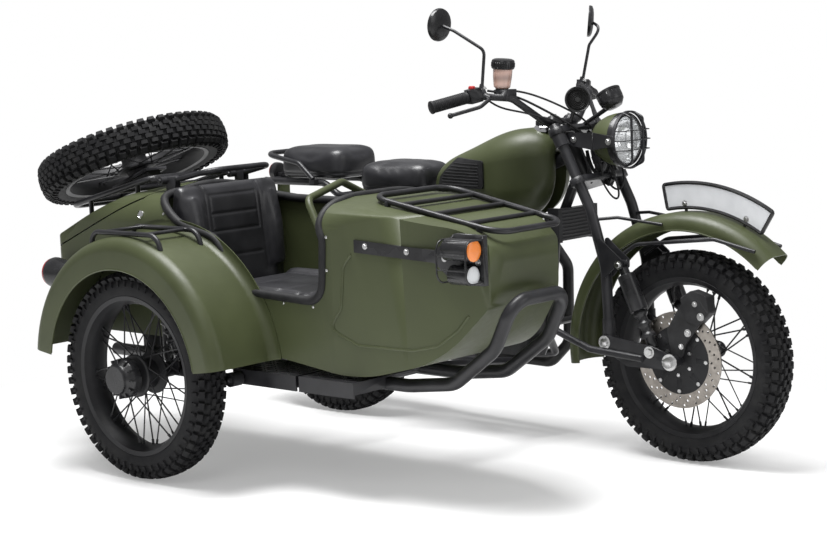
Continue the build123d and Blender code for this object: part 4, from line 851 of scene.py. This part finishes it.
def make_tail_lamps():
    """Black housings on their arms, with red lenses that face back."""
    back = (-1, 0, 0)
    shell = ((0, 0), (0, 28), (4, 33), (20, 34), (22, 32), (22, 0))
    bracket = block((-18, 10), (-16, 16), (0, 12), FRAME_BLACK, 0.9, 2)
    parts = [knob(shell, at(-1764, 0, 852), back, GLOSS_BLACK, 40), moved(bracket, at(-1752, 0, 838.5))]
    parts += round_lens(at(-1785, 0, 852), back, 33.5, 15, RED)
    stand_in("tail_lamp_unit", parts, "tail_lamp")
    y, z = -1004, 602
    cone = ((0, 0), (0, 24), (6, 30), (40, 38), (86, 47), (106, 50), (112, 50), (114, 47), (114, 0))
    arm = block((-20, 20), (-6.5, 6.5), (-17, 18), FRAME_BLACK, 0.9, 2)
    parts = [knob(cone, at(-1700, y, z), back, GLOSS_BLACK, 48), moved(arm, at(-1740, -957, z))]
    parts += round_lens(at(-1813, y, z), back, 49, 26, RED)
    stand_in("sidecar_tail_lamp_unit", parts, "sidecar_tail_lamp")


# ---- bar, mirrors and gauges ----
GRIP_ALONG = Vector((-0.4126, -0.889, -0.199)).normalized()


def across(point, side):
    """A place given for the right side, or its mirror image on the left."""
    x, y, z = point
    return at(x, y if side < 0 else -y, z)


def make_bar_fittings():
    """Ribbed grips, the fluid cup with its lid, the red switch, clamps' bolts and the cables."""
    parts = []
    ribs = [(0, 0), (0, 18.5)]
    for number in range(18):
        here = 6 + number * 6
        ribs += [(here, 17.8), (here + 2, 19.2), (here + 4, 19.2), (here + 5.5, 17.8)]
    ribs += [(117, 19), (121, 20.5), (126, 20.5), (128, 17), (128, 0)]
    grip_end = Vector((-664, -415, 1108)) + GRIP_ALONG * 4
    for side in (-1, 1):
        direction = Vector((GRIP_ALONG.x, GRIP_ALONG.y if side < 0 else -GRIP_ALONG.y, GRIP_ALONG.z))
        parts.append(knob(ribs, across(grip_end - GRIP_ALONG * 124, side), direction, RUBBER, 28))
        perch = across(grip_end - GRIP_ALONG * 177, side)
        parts += bolt(perch + span(10, 0, 17), (0.3, 0, 1), 5, 4)
        for along in (-1, 1):
            parts += bolt(at(-481.9, side * 45 + along * 9, 1060.6), (0, 0, 1), 5, 5, washer=False)
    place, up = at(-555, -208, 1160), (0.1, 0, 1)
    cup = ((-4, 0), (-4, 22), (0, 26), (30, 29.5), (58, 30.5), (58, 0))
    lid = ((56, 0), (56, 34), (59, 36), (80, 36), (84, 34), (87, 27), (88, 0))
    parts += knobs(place, up, (cup, FLUID, 36), (lid, GLOSS_BLACK, 36))
    tooth = block((-1.2, 1.2), (61, 78), (35.5, 37.5), GLOSS_BLACK, 0.7)
    parts.append(placed(repeated(tooth, 32), upright(place, up)))
    parts.append(moved(block((-10, 10), (-8, 8), (0, 9), SWITCH_RED, 0.8, 2), at(-606, -294, 1158)))
    # radius, then places on the right side
    for radius, *points in (
        (3.6, (-572, -214, 1150), (-520, -176, 1150), (-458, -120, 1120), (-402, -60, 1078),
         (-360, -34, 1046), (-340, -22, 1010)),
        (3.2, (-590, -250, 1130), (-560, -236, 1096), (-505, -190, 1084), (-456, -130, 1060),
         (-410, -80, 1040), (-372, -50, 1000)),
        (4.2, (-584, -246, 1150), (-528, -196, 1138), (-480, -140, 1100), (-428, -100, 1062),
         (-388, -66, 1030), (-352, -40, 990)),
    ):
        for side in (-1, 1):
            parts.append(hose([across(point, side) for point in points], radius, RUBBER))
    fitting("bar_fittings", parts, "steering", "frame_black")


def make_wiring():
    """The loom, its connector blocks and the loops of cable between the fork legs."""
    # radius, then places
    runs = (
        (8.5, (-410, -20, 1012), (-352, -24, 980), (-330, -10, 930), (-338, 12, 884), (-362, 24, 900),
         (-380, 20, 960)),
        (6.0, (-404, 30, 1008), (-344, 40, 960), (-318, 34, 900), (-330, 10, 856), (-362, -14, 880),
         (-380, -10, 950)),
        (4.0, (-392, -48, 1000), (-330, -52, 968), (-300, -40, 915), (-318, -14, 852), (-356, 0, 890),
         (-376, 6, 960)),
        (4.0, (-372, 10, 1012), (-318, 8, 960), (-292, 6, 900), (-294, 26, 838), (-340, 40, 880),
         (-372, 36, 960)),
        (3.2, (-380, 56, 1000), (-312, 62, 940), (-276, 54, 868), (-286, 34, 806), (-334, 22, 846),
         (-370, 16, 940)),
        (3.2, (-366, -30, 1004), (-300, -18, 930), (-266, -2, 850), (-276, 18, 776), (-326, 8, 820),
         (-366, -4, 930)),
        (3.6, (-378, -58, 984), (-346, -64, 930), (-328, -56, 872), (-346, -36, 836), (-372, -20, 880),
         (-380, -12, 950)),
    )
    parts = [hose([at(*point) for point in points], radius, RUBBER) for radius, *points in runs]
    for x, y, z, turn in ((-338, 6, 900, 0.2), (-322, -34, 936, -0.3), (-330, 38, 862, 0.5)):
        plug = block((-16, 16), (-13, 13), (-22, 22), GLOSS_BLACK, 0.9, 2)
        parts.append(moved(placed(plug, Matrix.Rotation(turn, 4, "Y")), at(x, y, z)))
    parts.append(knob(((-12, 0), (-12, 20), (12, 20), (12, 0)), at(-352, 10, 944), (1, 0, 0), ALLOY, 24))
    fitting("loom", parts, "steering", "frame_black")


def make_mirrors():
    """Two round mirrors with domed black backs on bent stems."""
    shell = ((5.5, 0), (5.5, 48), (8, 49), (8, 51.5), (3, 52), (-3, 50), (-7.5, 40), (-10, 24), (-11, 0))
    glass = ((6.2, 0), (6.2, 48.2), (5.2, 48.2))
    foot = ((-4, 0), (-4, 10), (10, 9), (22, 6), (22, 0))
    parts = []
    # the way that the mirror faces, then the places along its stem
    for faces, *stem in (
        ((-1.0, 0.0, 0.12), (-592, -262, 1150), (-577, -262, 1275), (-672, -292, 1338), (-716, -306, 1358)),
        ((-0.80, -0.58, 0.10), (-592, 262, 1150), (-560, 262, 1275), (-520, 275, 1330), (-580, 300, 1352)),
    ):
        points = [at(*point) for point in stem]
        parts += [tube(points, 5, FRAME_BLACK, bend=28), knob(foot, points[0], (0, 0, 1), FRAME_BLACK, 16)]
        parts += knobs(points[-1], faces, (shell, GLOSS_BLACK, 48), (glass, MIRROR, 48))
    stand_in("mirror_pair", parts, "mirrors")


def make_gauges():
    """A dial in its dark ring on the speedometer, and the horn's dark ringed face."""
    place, face = at(-300, 12, 1112), (-0.5, 0, 0.86)
    ring = ((18, 41), (24, 41), (26, 38), (23, 36.5), (18, 36.5))
    ticks = repeated(block((-0.6, 0.6), (22.4, 23), (29, 34), PLATE_WHITE), 24)
    needle = block((-0.9, 0.9), (23.2, 24), (-6, 28), SWITCH_RED, 0.6)
    dial, cover = ((22.2, 0), (22.2, 37.5), (21.2, 37.5)), ((25, 0), (24.2, 37), (23.2, 37))
    parts = knobs(place, face, (ring, DAMPER_BLACK, 48, True), (dial, DIAL, 48), (cover, GLASS, 48))
    parts += [placed(mesh, upright(place, face)) for mesh in (ticks, needle)]
    fitting("speedometer_dial", parts, "steering", "gauge")
    place, face = at(-372, -66, 1112), (0.78, -0.6, 0.15)
    body = (
        (-24, 0), (-22, 24), (-10, 37), (2, 40.5), (6, 40.5), (8, 38.5), (6, 36), (1, 35), (1, 32.5),
        (4, 31), (1, 29.5), (4, 27), (1, 24.5), (4, 22), (1, 19.5), (4, 17), (1, 14.5), (4, 12), (2, 9),
        (6, 8), (7, 0),
    )
    edge = ((4, 40.8), (8, 40.8), (9.2, 38.5), (7.5, 37), (4, 37))
    parts = knobs(place, face, (body, EXHAUST_BLACK, 48), (edge, DAMPER_BLACK, 48, True))
    parts.append(tube((at(-412, -66, 1022), at(-396, -62, 1060), at(-384, -60, 1098)), 6, FRAME_BLACK))
    stand_in("horn_unit", parts, "horn")


def make_fuel_cap():
    """A black fluted cap in a bright collar, with its wire handle."""
    up = (0.06, 0, 1)
    place = met(node_tree("fuel_tank"), at(-550, 0, 1300), (0, 0, -1), -0.005)
    collar = ((-8, 0), (-8, 35), (4, 35), (8, 32.5), (10, 30), (10, 0))
    cap = ((6, 0), (6, 29), (24, 29), (29, 27), (31, 22), (30, 0))
    flute = block((-2.2, 2.2), (10, 25), (28.5, 31.2), GLOSS_BLACK, 0.8)
    bail = ((0, -24, 28), (-10, -22, 36), (-22, 0, 37), (-10, 22, 36), (0, 24, 28))
    parts = knobs(place, up, (collar, CHROME, 48), (cap, GLOSS_BLACK, 48))
    parts.append(placed(repeated(flute, 20), upright(place, up)))
    parts.append(hose([place + span(*point) for point in bail], 1.8, CHROME))
    stand_in("filler_cap", parts, "fuel_cap")


# ---- front wheel's brake, number plate, covers, mudguard edges and bolts ----
def make_brake_disc():
    """A drilled steel ring riveted to its black carrier."""
    ring = turned(((-85, 104), (-85, 148), (-80, 148), (-80, 104)), DISC_STEEL, 120, closed=True)
    holes = []
    for pitch, share in ((114, 0.0), (126, 0.33), (139, 0.66)):
        pin = turned(((-10, 0), (-10, 4.2), (10, 4.2), (10, 0)), DISC_STEEL, 10)
        holes.append(repeated(moved(pin, span(pitch, -82.5, 0)), 20, tau * share / 20))
    drilled, pins = helper(ring), helper(joined(holes))
    drill = drilled.modifiers.new("drill", "BOOLEAN")
    drill.operation, drill.object, drill.solver = "DIFFERENCE", pins, "EXACT"
    ring = smoothed(given(baked(drilled), DISC_STEEL), 30)
    bpy.data.objects.remove(pins)
    carrier = (
        (-86.6, 0), (-86.6, 58), (-85.6, 62), (-85.6, 105), (-84, 106.5), (-79.6, 106.5), (-79, 70),
        (-62.5, 36), (-62.5, 0),
    )
    rivet = turned(((0, 0), (0, 6.5), (-3, 6), (-3.5, 0)), BOLT_STEEL, 14)
    screw = turned(((0, 0), (0, 6.5), (-5, 6), (-5.5, 0)), BOLT_STEEL, 6)
    parts = [
        ring,
        turned(carrier, WHEEL_BLACK),
        repeated(block((-10, 10), (-86.8, -79.4), (60, 103), WHEEL_BLACK, 0.8, 1.2), 8),
        repeated(moved(rivet, span(0, -85.6, 96)), 8),
        repeated(moved(screw, span(0, -86.6, 46)), 6),
    ]
    stand_in("drilled_disc", moved(joined(parts), FRONT_AXLE), "front_brake_disc")


def round_axle(axle, radius, degrees, y=0.0):
    """A place at a radius and an angle round an axle, and at a distance along it."""
    angle = radians(degrees)
    return axle + span(radius * cos(angle), y, radius * sin(angle))


def make_number_plate():
    """A blank white plate in a black edge, curved like the mudguard under its two feet."""
    inner, outer, first, last, count = 455, 531, 58.0, 101.0, 24
    angles = [first + (last - first) * n / count for n in range(count + 1)]
    low = [round_axle(FRONT_AXLE, inner, angle, -2) for angle in angles]
    high = [round_axle(FRONT_AXLE, outer, angle, -2) for angle in reversed(angles)]
    outline = rounded([*low, *high], 0.012, cyclic=True, steps=3)
    edge = [point + Vector((0, 0.002, 0)) for point in outline]
    parts = [prism(outline, (0, 0.004, 0), PLATE_WHITE), tube(edge, 6.2, GLOSS_BLACK, 10, cyclic=True)]
    for angle in (first + 8, last - 8):
        foot = (round_axle(FRONT_AXLE, 443.3, angle, 5), round_axle(FRONT_AXLE, 471, angle, 5))
        parts.append(tube(foot, 5, FRAME_BLACK))
        parts += bolt(round_axle(FRONT_AXLE, 468, angle, -2.2), (0, -1, 0))
    stand_in("number_plate_blank", parts, "number_plate")


def make_damper_covers():
    """Black covers over the upper halves of the front dampers."""
    shape = ((32, 0), (32, 20), (36, 27.5), (146, 29), (150, 27.5), (150, 0))
    parts = []
    for y in (-110, 110):
        top, foot = at(-185, y, 611), at(-72, y, 352)
        parts.append(knob(shape, top, foot - top, DAMPER_BLACK, 36))
    fitting("damper_covers", parts, BODY_OF["front_dampers"], "frame_black")


def rolled_edge(name, wheel, radius, y, first, last, thick=3.0):
    """A wire rolled into the edge of a mudguard."""
    axle = middle(wheel + "_tyre")
    points = [round_axle(axle, radius, first + (last - first) * number / 60, y) for number in range(61)]
    fitting(name, tube(points, thick, PAINT, 8), BODY_OF[wheel + "_mudguard"], "olive_paint")


def make_mudguard_edges():
    """Rolled edges along the guards of the three wheels."""
    for side, word in ((-1, "right"), (1, "left")):
        rolled_edge("front_guard_edge_" + word, "front", 392, side * 66.5, 48, 186)
        rolled_edge("rear_guard_edge_" + word, "rear", 371, side * 70.5, 23, 171)
    rolled_edge("sidecar_guard_edge", "sidecar", 335.5, -96.5, 9, 171, 3.5)


def make_bolts():
    """Axle nuts, pivot bolts and rack bolts, and the bright lock on the tub's side."""
    steering, chassis = [], []
    for side in (-1, 1):
        out = (0, side, 0)
        for x, z, radius, height in ((0, 327, 17.5, 15.5), (-237, 369, 14.5, 8.5), (-72, 352, 12.5, 6.5)):
            steering += bolt(at(x, side * 139.2, z), out, radius, height)
        steering += bolt(at(-185, side * 132.0, 611), out, 9, 6)
        chassis += bolt(at(-1490, side * 126.2, 327), out, 17.2, 12.8)
        chassis += bolt(at(-1392, side * 145.2, 772), out, 9, 6)
        chassis += bolt(at(-1462, side * 145.2, 366), out, 9, 6)
    for y in (-1118, -1012):
        chassis += bolt(at(-1112, y, 713.2), (0, 0, 1))
    for x, z in ((-1330, 612), (-1230, 376)):
        chassis += bolt(at(x, -1020.5, z), (0, -1, 0), 9, 6)
    places = ((92, 468, 8.5, 6), (44, 415, 8, 6), (20, 372, 6, 6), (72, 505, 6, 6))
    steering += right_bolts("brake_caliper", places)
    barrel = ((-4, 0), (-4, 13), (2, 13), (4, 10), (2.5, 9), (2.5, 0))
    lock = shown(node_tree("sidecar_tub"), -1, -1440, 800)
    chassis.append(knob(barrel, lock, (0, -1, 0.1), CHROME, 28))
    fitting("steering_bolts", steering, "steering", "bright_trim")
    fitting("chassis_bolts", chassis, "chassis", "bright_trim")


# ---- the tub's beading, pressed line and steps ----
NEAR_EDGE = ((-1395, 862), (-1250, 776), (-1090, 742), (-975, 586), (-650, 572), (-638, 758), (-660, 800))
NEAR_BENDS = (0, 150, 90, 70, 60, 30, 0)
FAR_EDGE = ((-660, 815), (-900, 806), (-1250, 812), (-1395, 826))
PRESSED_LINE = (
    (-536, 718), (-565, 685), (-578, 560), (-626, 500), (-523, 457), (-330, 455), (-255, 470), (-200, 516),
    (-172, 556),
)
TUB_MIDDLE = -685


def cockpit_edge():
    """The line along the middle of the beading, all round the opening."""
    tree = node_tree("cockpit_rim")
    depth = 0.0065

    def over(x, first, last):
        """The edge that crosses the deck at one place along X, between two angles up from the right."""
        for number in range(31):
            angle = radians(first + (last - first) * number / 30)
            outward = Vector((0, -cos(angle), sin(angle)))
            yield met(tree, at(x, TUB_MIDDLE, 640) + outward * 0.7, -outward, depth)

    line = [shown(tree, -1, point.x, point.z, depth) for point in drawn(NEAR_EDGE, NEAR_BENDS, 10)]
    line += over(-660, 34, 146)
    line += [shown(tree, 1, point.x, point.z, depth) for point in drawn(FAR_EDGE, 60, 14)]
    line += over(-1395, 139, 54)
    kept = [point for point in line if point is not None and point.z > at(0, 0, 540).z]
    count = len(kept)
    for _ in range(5):
        kept = [(kept[n - 1] + kept[n] * 2 + kept[(n + 1) % count]) / 4 for n in range(count)]
    return kept


def make_beading():
    """The round rubber edge of the cockpit with its screws, and the line pressed in the tub's sides."""
    beading = tube(cockpit_edge(), 13.5, RUBBER, 16, cyclic=True)
    stand_in("cockpit_beading", beading, "cockpit_rim")
    tree = node_tree("sidecar_tub")
    parts = []
    screw = ((-1, 0), (-1, 5), (1.5, 4.8), (2.8, 3), (3, 0))
    path = drawn(NEAR_EDGE, NEAR_BENDS, 10)
    for number in range(8, len(path) - 1, 12):
        run = (path[number + 1] - path[number - 1]).normalized()
        outside = path[number] + Vector((run.z, 0, -run.x)) * 17
        spot = shown(tree, -1, outside.x, outside.z)
        if spot is not None and spot.y < at(0, TUB_MIDDLE - 150, 0).y:
            parts.append(knob(screw, spot, (0, -1, 0), BOLT_STEEL, 12))
    line = [shown(tree, -1, point.x, point.z, 0.0008) for point in drawn(PRESSED_LINE, 40, 9)]
    line = [point for point in line if point is not None]
    for _ in range(2):
        line = [line[0], *[(a + b * 2 + c) / 4 for a, b, c in zip(line, line[1:], line[2:])], line[-1]]
    mirrored = [Vector((p.x, 2 * at(0, TUB_MIDDLE, 0).y - p.y, p.z)) for p in line]
    parts += [tube(points, 4.6, PAINT, 10) for points in (line, mirrored)]
    fitting("tub_trim", parts, "chassis", "olive_paint")


def make_treads():
    """Raised bars on the two steps beside the tub."""
    top, width, margin, pitch, rows = 351.3, 0.132, 44, 22, 7
    parts = []
    for rear, front in ((-1020, -752), (-740, -520)):
        bar = block((-11, 11), (-2.2, 2.2), (0, 1.8), FRAME_BLACK, 0.75)
        length = front - rear - margin
        sizes = {"columns": int(length / pitch), "rows": rows, "length": length * MILLIMETRE, "width": width}
        # a quarter turn more from bar to bar makes each second one lie the other way
        field = copied_out(bar, (0, 0, -tau / 8), (0, 0, tau / 4), **sizes)
        parts.append(moved(field, at((rear + front) / 2, -887, top)))
    fitting("step_treads", parts, "chassis", "frame_black")


def make_knee_ribs():
    """Raised ribs across both knee pads."""
    tree = node_tree("knee_pads")
    parts = []
    for side in (-1, 1):
        for number in range(8):
            z = 838 + number * 10
            rear = -934 + max(0, z - 862) * 1.35
            path = [shown(tree, side, x, z, 0.0008) for x in range(int(rear) + 16, -722, 8)]
            path = [point for point in path if point is not None]
            if len(path) > 3:
                parts.append(tube(path, 2.6, RUBBER, 8))
    fitting("knee_pad_ribs", parts, BODY_OF["knee_pads"], "pad_rubber")


make_headlamp()
make_side_lenses()
make_tail_lamps()
make_bar_fittings()
make_wiring()
make_mirrors()
make_gauges()
make_fuel_cap()
make_brake_disc()
make_number_plate()
make_damper_covers()
make_mudguard_edges()
make_bolts()
make_beading()
make_treads()
make_knee_ribs()


# ---- padded seats ----
def drawn_in(mesh, inset):
    """A mesh made smaller by an inset on every side of its box."""
    xs, ys, zs = zip(*[vertex.co for vertex in mesh.vertices])
    low, high = Vector((min(xs), min(ys), min(zs))), Vector((max(xs), max(ys), max(zs)))
    centre, size = (low + high) / 2, high - low
    shares = [1 - 2 * inset / side for side in size]
    for vertex in mesh.vertices:
        vertex.co = centre + Vector([a * b for a, b in zip(vertex.co - centre, shares)])
    return mesh


def softened(thing, rounds):
    """Smooths an object's shape by a modifier."""
    soften = thing.modifiers.new("soften", "SMOOTH")
    soften.factor, soften.iterations = 0.5, rounds


def blown(thing, mesh, cap):
    """Blows a mesh up as cloth, held at its base and kept within a cap of its shape."""
    base = 0.014
    floor = min(vertex.co.z for vertex in mesh.vertices) + base
    held = thing.vertex_groups.new(name="held")
    held.add([vertex.index for vertex in mesh.vertices if vertex.co.z < floor], 1.0, "REPLACE")
    before = [vertex.co.copy() for vertex in mesh.vertices]
    settings = thing.modifiers.new("cover", "CLOTH").settings
    settings.quality = 4
    settings.mass = 0.4
    settings.tension_stiffness = settings.compression_stiffness = 18.0
    settings.shear_stiffness = 8.0
    settings.bending_stiffness = 1.5
    settings.use_pressure = True
    settings.uniform_pressure_force = 2.5
    settings.effector_weights.gravity = 0.0
    settings.vertex_group_mass = "held"
    scene = bpy.context.scene
    for number in range(1, 21):
        scene.frame_set(number)
    result = evaluated(thing)
    thing.modifiers.clear()
    scene.frame_set(1)
    for vertex, start, end in zip(mesh.vertices, before, result.vertices):
        move = end.co - start
        vertex.co = start + move * min(1.0, cap / max(move.length, 1e-9))


def padded_mesh(mesh, rounds=14, cap=0.006):
    """Foam under a cover: skinned, blown up and softened."""
    thing = helper(mesh)
    skin = thing.modifiers.new("skin", "REMESH")
    skin.mode, skin.voxel_size = "VOXEL", 0.006
    softened(thing, rounds)
    mesh = baked(thing)
    thing = helper(mesh)
    blown(thing, mesh, cap)
    softened(thing, 7)
    finer = thing.modifiers.new("finer", "SUBSURF")
    finer.levels = finer.render_levels = 1
    mesh = baked(thing)
    mesh.shade_smooth()
    return mesh


def bell(share):
    """A soft bump: 1 in the middle, next to nothing at 3."""
    return 2.718 ** (-share * share)


def pressed(mesh, depth_at):
    """Draws a surface in along its normals, by a depth that a function gives for each point."""
    moves = [vertex.normal * depth_at(vertex) for vertex in mesh.vertices]
    for vertex, move in zip(mesh.vertices, moves):
        vertex.co -= move
    return mesh


def sewn(mesh, axis, lines, depth, width=0.006):
    """Sewn channels: faces that look along an axis are drawn in along lines in the other two."""
    others = [n for n in range(3) if n != axis]
    runs = [(Vector(a), Vector(b)) for line in lines for a, b in zip(line, line[1:])]
    turned_away = 0.35

    def depth_at(vertex):
        look = vertex.normal[axis]
        if look <= turned_away:
            return 0.0
        here = Vector([vertex.co[n] for n in others])
        nearest = 1.0
        for start, end in runs:
            along = end - start
            share = min(1.0, max(0.0, (here - start).dot(along) / along.length_squared))
            nearest = min(nearest, (here - start - along * share).length)
        if nearest >= 3 * width:
            return 0.0
        return depth * bell(nearest / width) * min(1.0, (look - turned_away) * 3)

    return pressed(mesh, depth_at)


def seat_piece(name, mesh, node):
    """A finished soft piece in its cover."""
    stand_in(name, given(mesh, VINYL), node)


def make_saddles():
    """The rider's and the pillion's saddles, each with a shallow seam round its sides."""
    depth, width = 0.002, 0.004
    for node, rounds in (("rider_saddle", 70), ("pillion_saddle", 40)):
        mesh = padded_mesh(drawn_in(merged(frame["nodes"][node].data.copy()), 0.001), rounds, 0.004)
        seam = min(vertex.co.z for vertex in mesh.vertices) + 0.020

        def depth_at(vertex):
            away = abs(vertex.co.z - seam) / width
            return depth * sqrt(max(0.0, 1 - vertex.normal.z**2)) * bell(away) if away < 3 else 0.0

        seat_piece(node + "_cover", pressed(mesh, depth_at), node)


def sat_outline(side, y_low, y_high, bevel=0.0):
    """A block of foam with one outline from side to side, in X and Z millimetres."""
    return prism([at(x, y_low, z) for x, z in side], (0, (y_high - y_low) * MILLIMETRE, 0), VINYL, bevel)


def make_cushion():
    """The passenger's cushion: a padded block between two side rolls and a front roll, sewn in a grid."""
    y_low, y_high = -900, -470
    parts = [sat_outline(((-1256, 440), (-1256, 574), (-800, 566), (-778, 556), (-768, 430)), y_low, y_high)]
    for y in (y_low + 26, y_high - 26):
        parts.append(tube((at(-1240, y, 566), at(-810, y, 560)), 28, VINYL, 16))
    parts.append(tube((at(-800, y_low + 30, 548), at(-800, y_high - 30, 548)), 30, VINYL, 16))
    mesh = padded_mesh(joined(parts))
    left, right = at(0, y_low + 60, 0).y, at(0, y_high - 60, 0).y
    lines = [((at(x, 0, 0).x, left), (at(x, 0, 0).x, right)) for x in (-1120, -960)]
    lines += [((at(-1240, 0, 0).x, y), (at(-812, 0, 0).x, y)) for y in (left, right)]
    seat_piece("cushion_cover", sewn(mesh, 2, lines, 0.003), "seat_cushion")


def make_backrest():
    """The backrest: a broad panel between two bolsters, with a framed middle and sewn lines."""
    y_low, y_high = -894, -470
    side = (
        (-1272, 600), (-1302, 878), (-1318, 890), (-1346, 890), (-1362, 826), (-1438, 700), (-1438, 480),
        (-1272, 480),
    )
    parts = [sat_outline(side, y_low, y_high, 12)]
    for y in (y_low + 44, y_high - 44):
        parts.append(tube((at(-1290, y, 606), at(-1302, y, 740), at(-1326, y, 850)), 42, VINYL, 20))
    mesh = padded_mesh(joined(parts), 16)
    left, right = at(0, y_low + 112, 0).y, at(0, y_high - 112, 0).y
    low, high = 0.735, 0.850
    lines = [((left, low), (left, high), (right, high), (right, low), (left, low))]
    lines += [((left, z), (right, z)) for z in (0.655, 0.790)]
    lines += [((y, 0.60), (y, 0.88)) for y in (left - 0.018, right + 0.018)]
    seat_piece("backrest_cover", sewn(mesh, 0, lines, 0.0022, 0.005), "seat_back")


make_saddles()
make_cushion()
make_backrest()
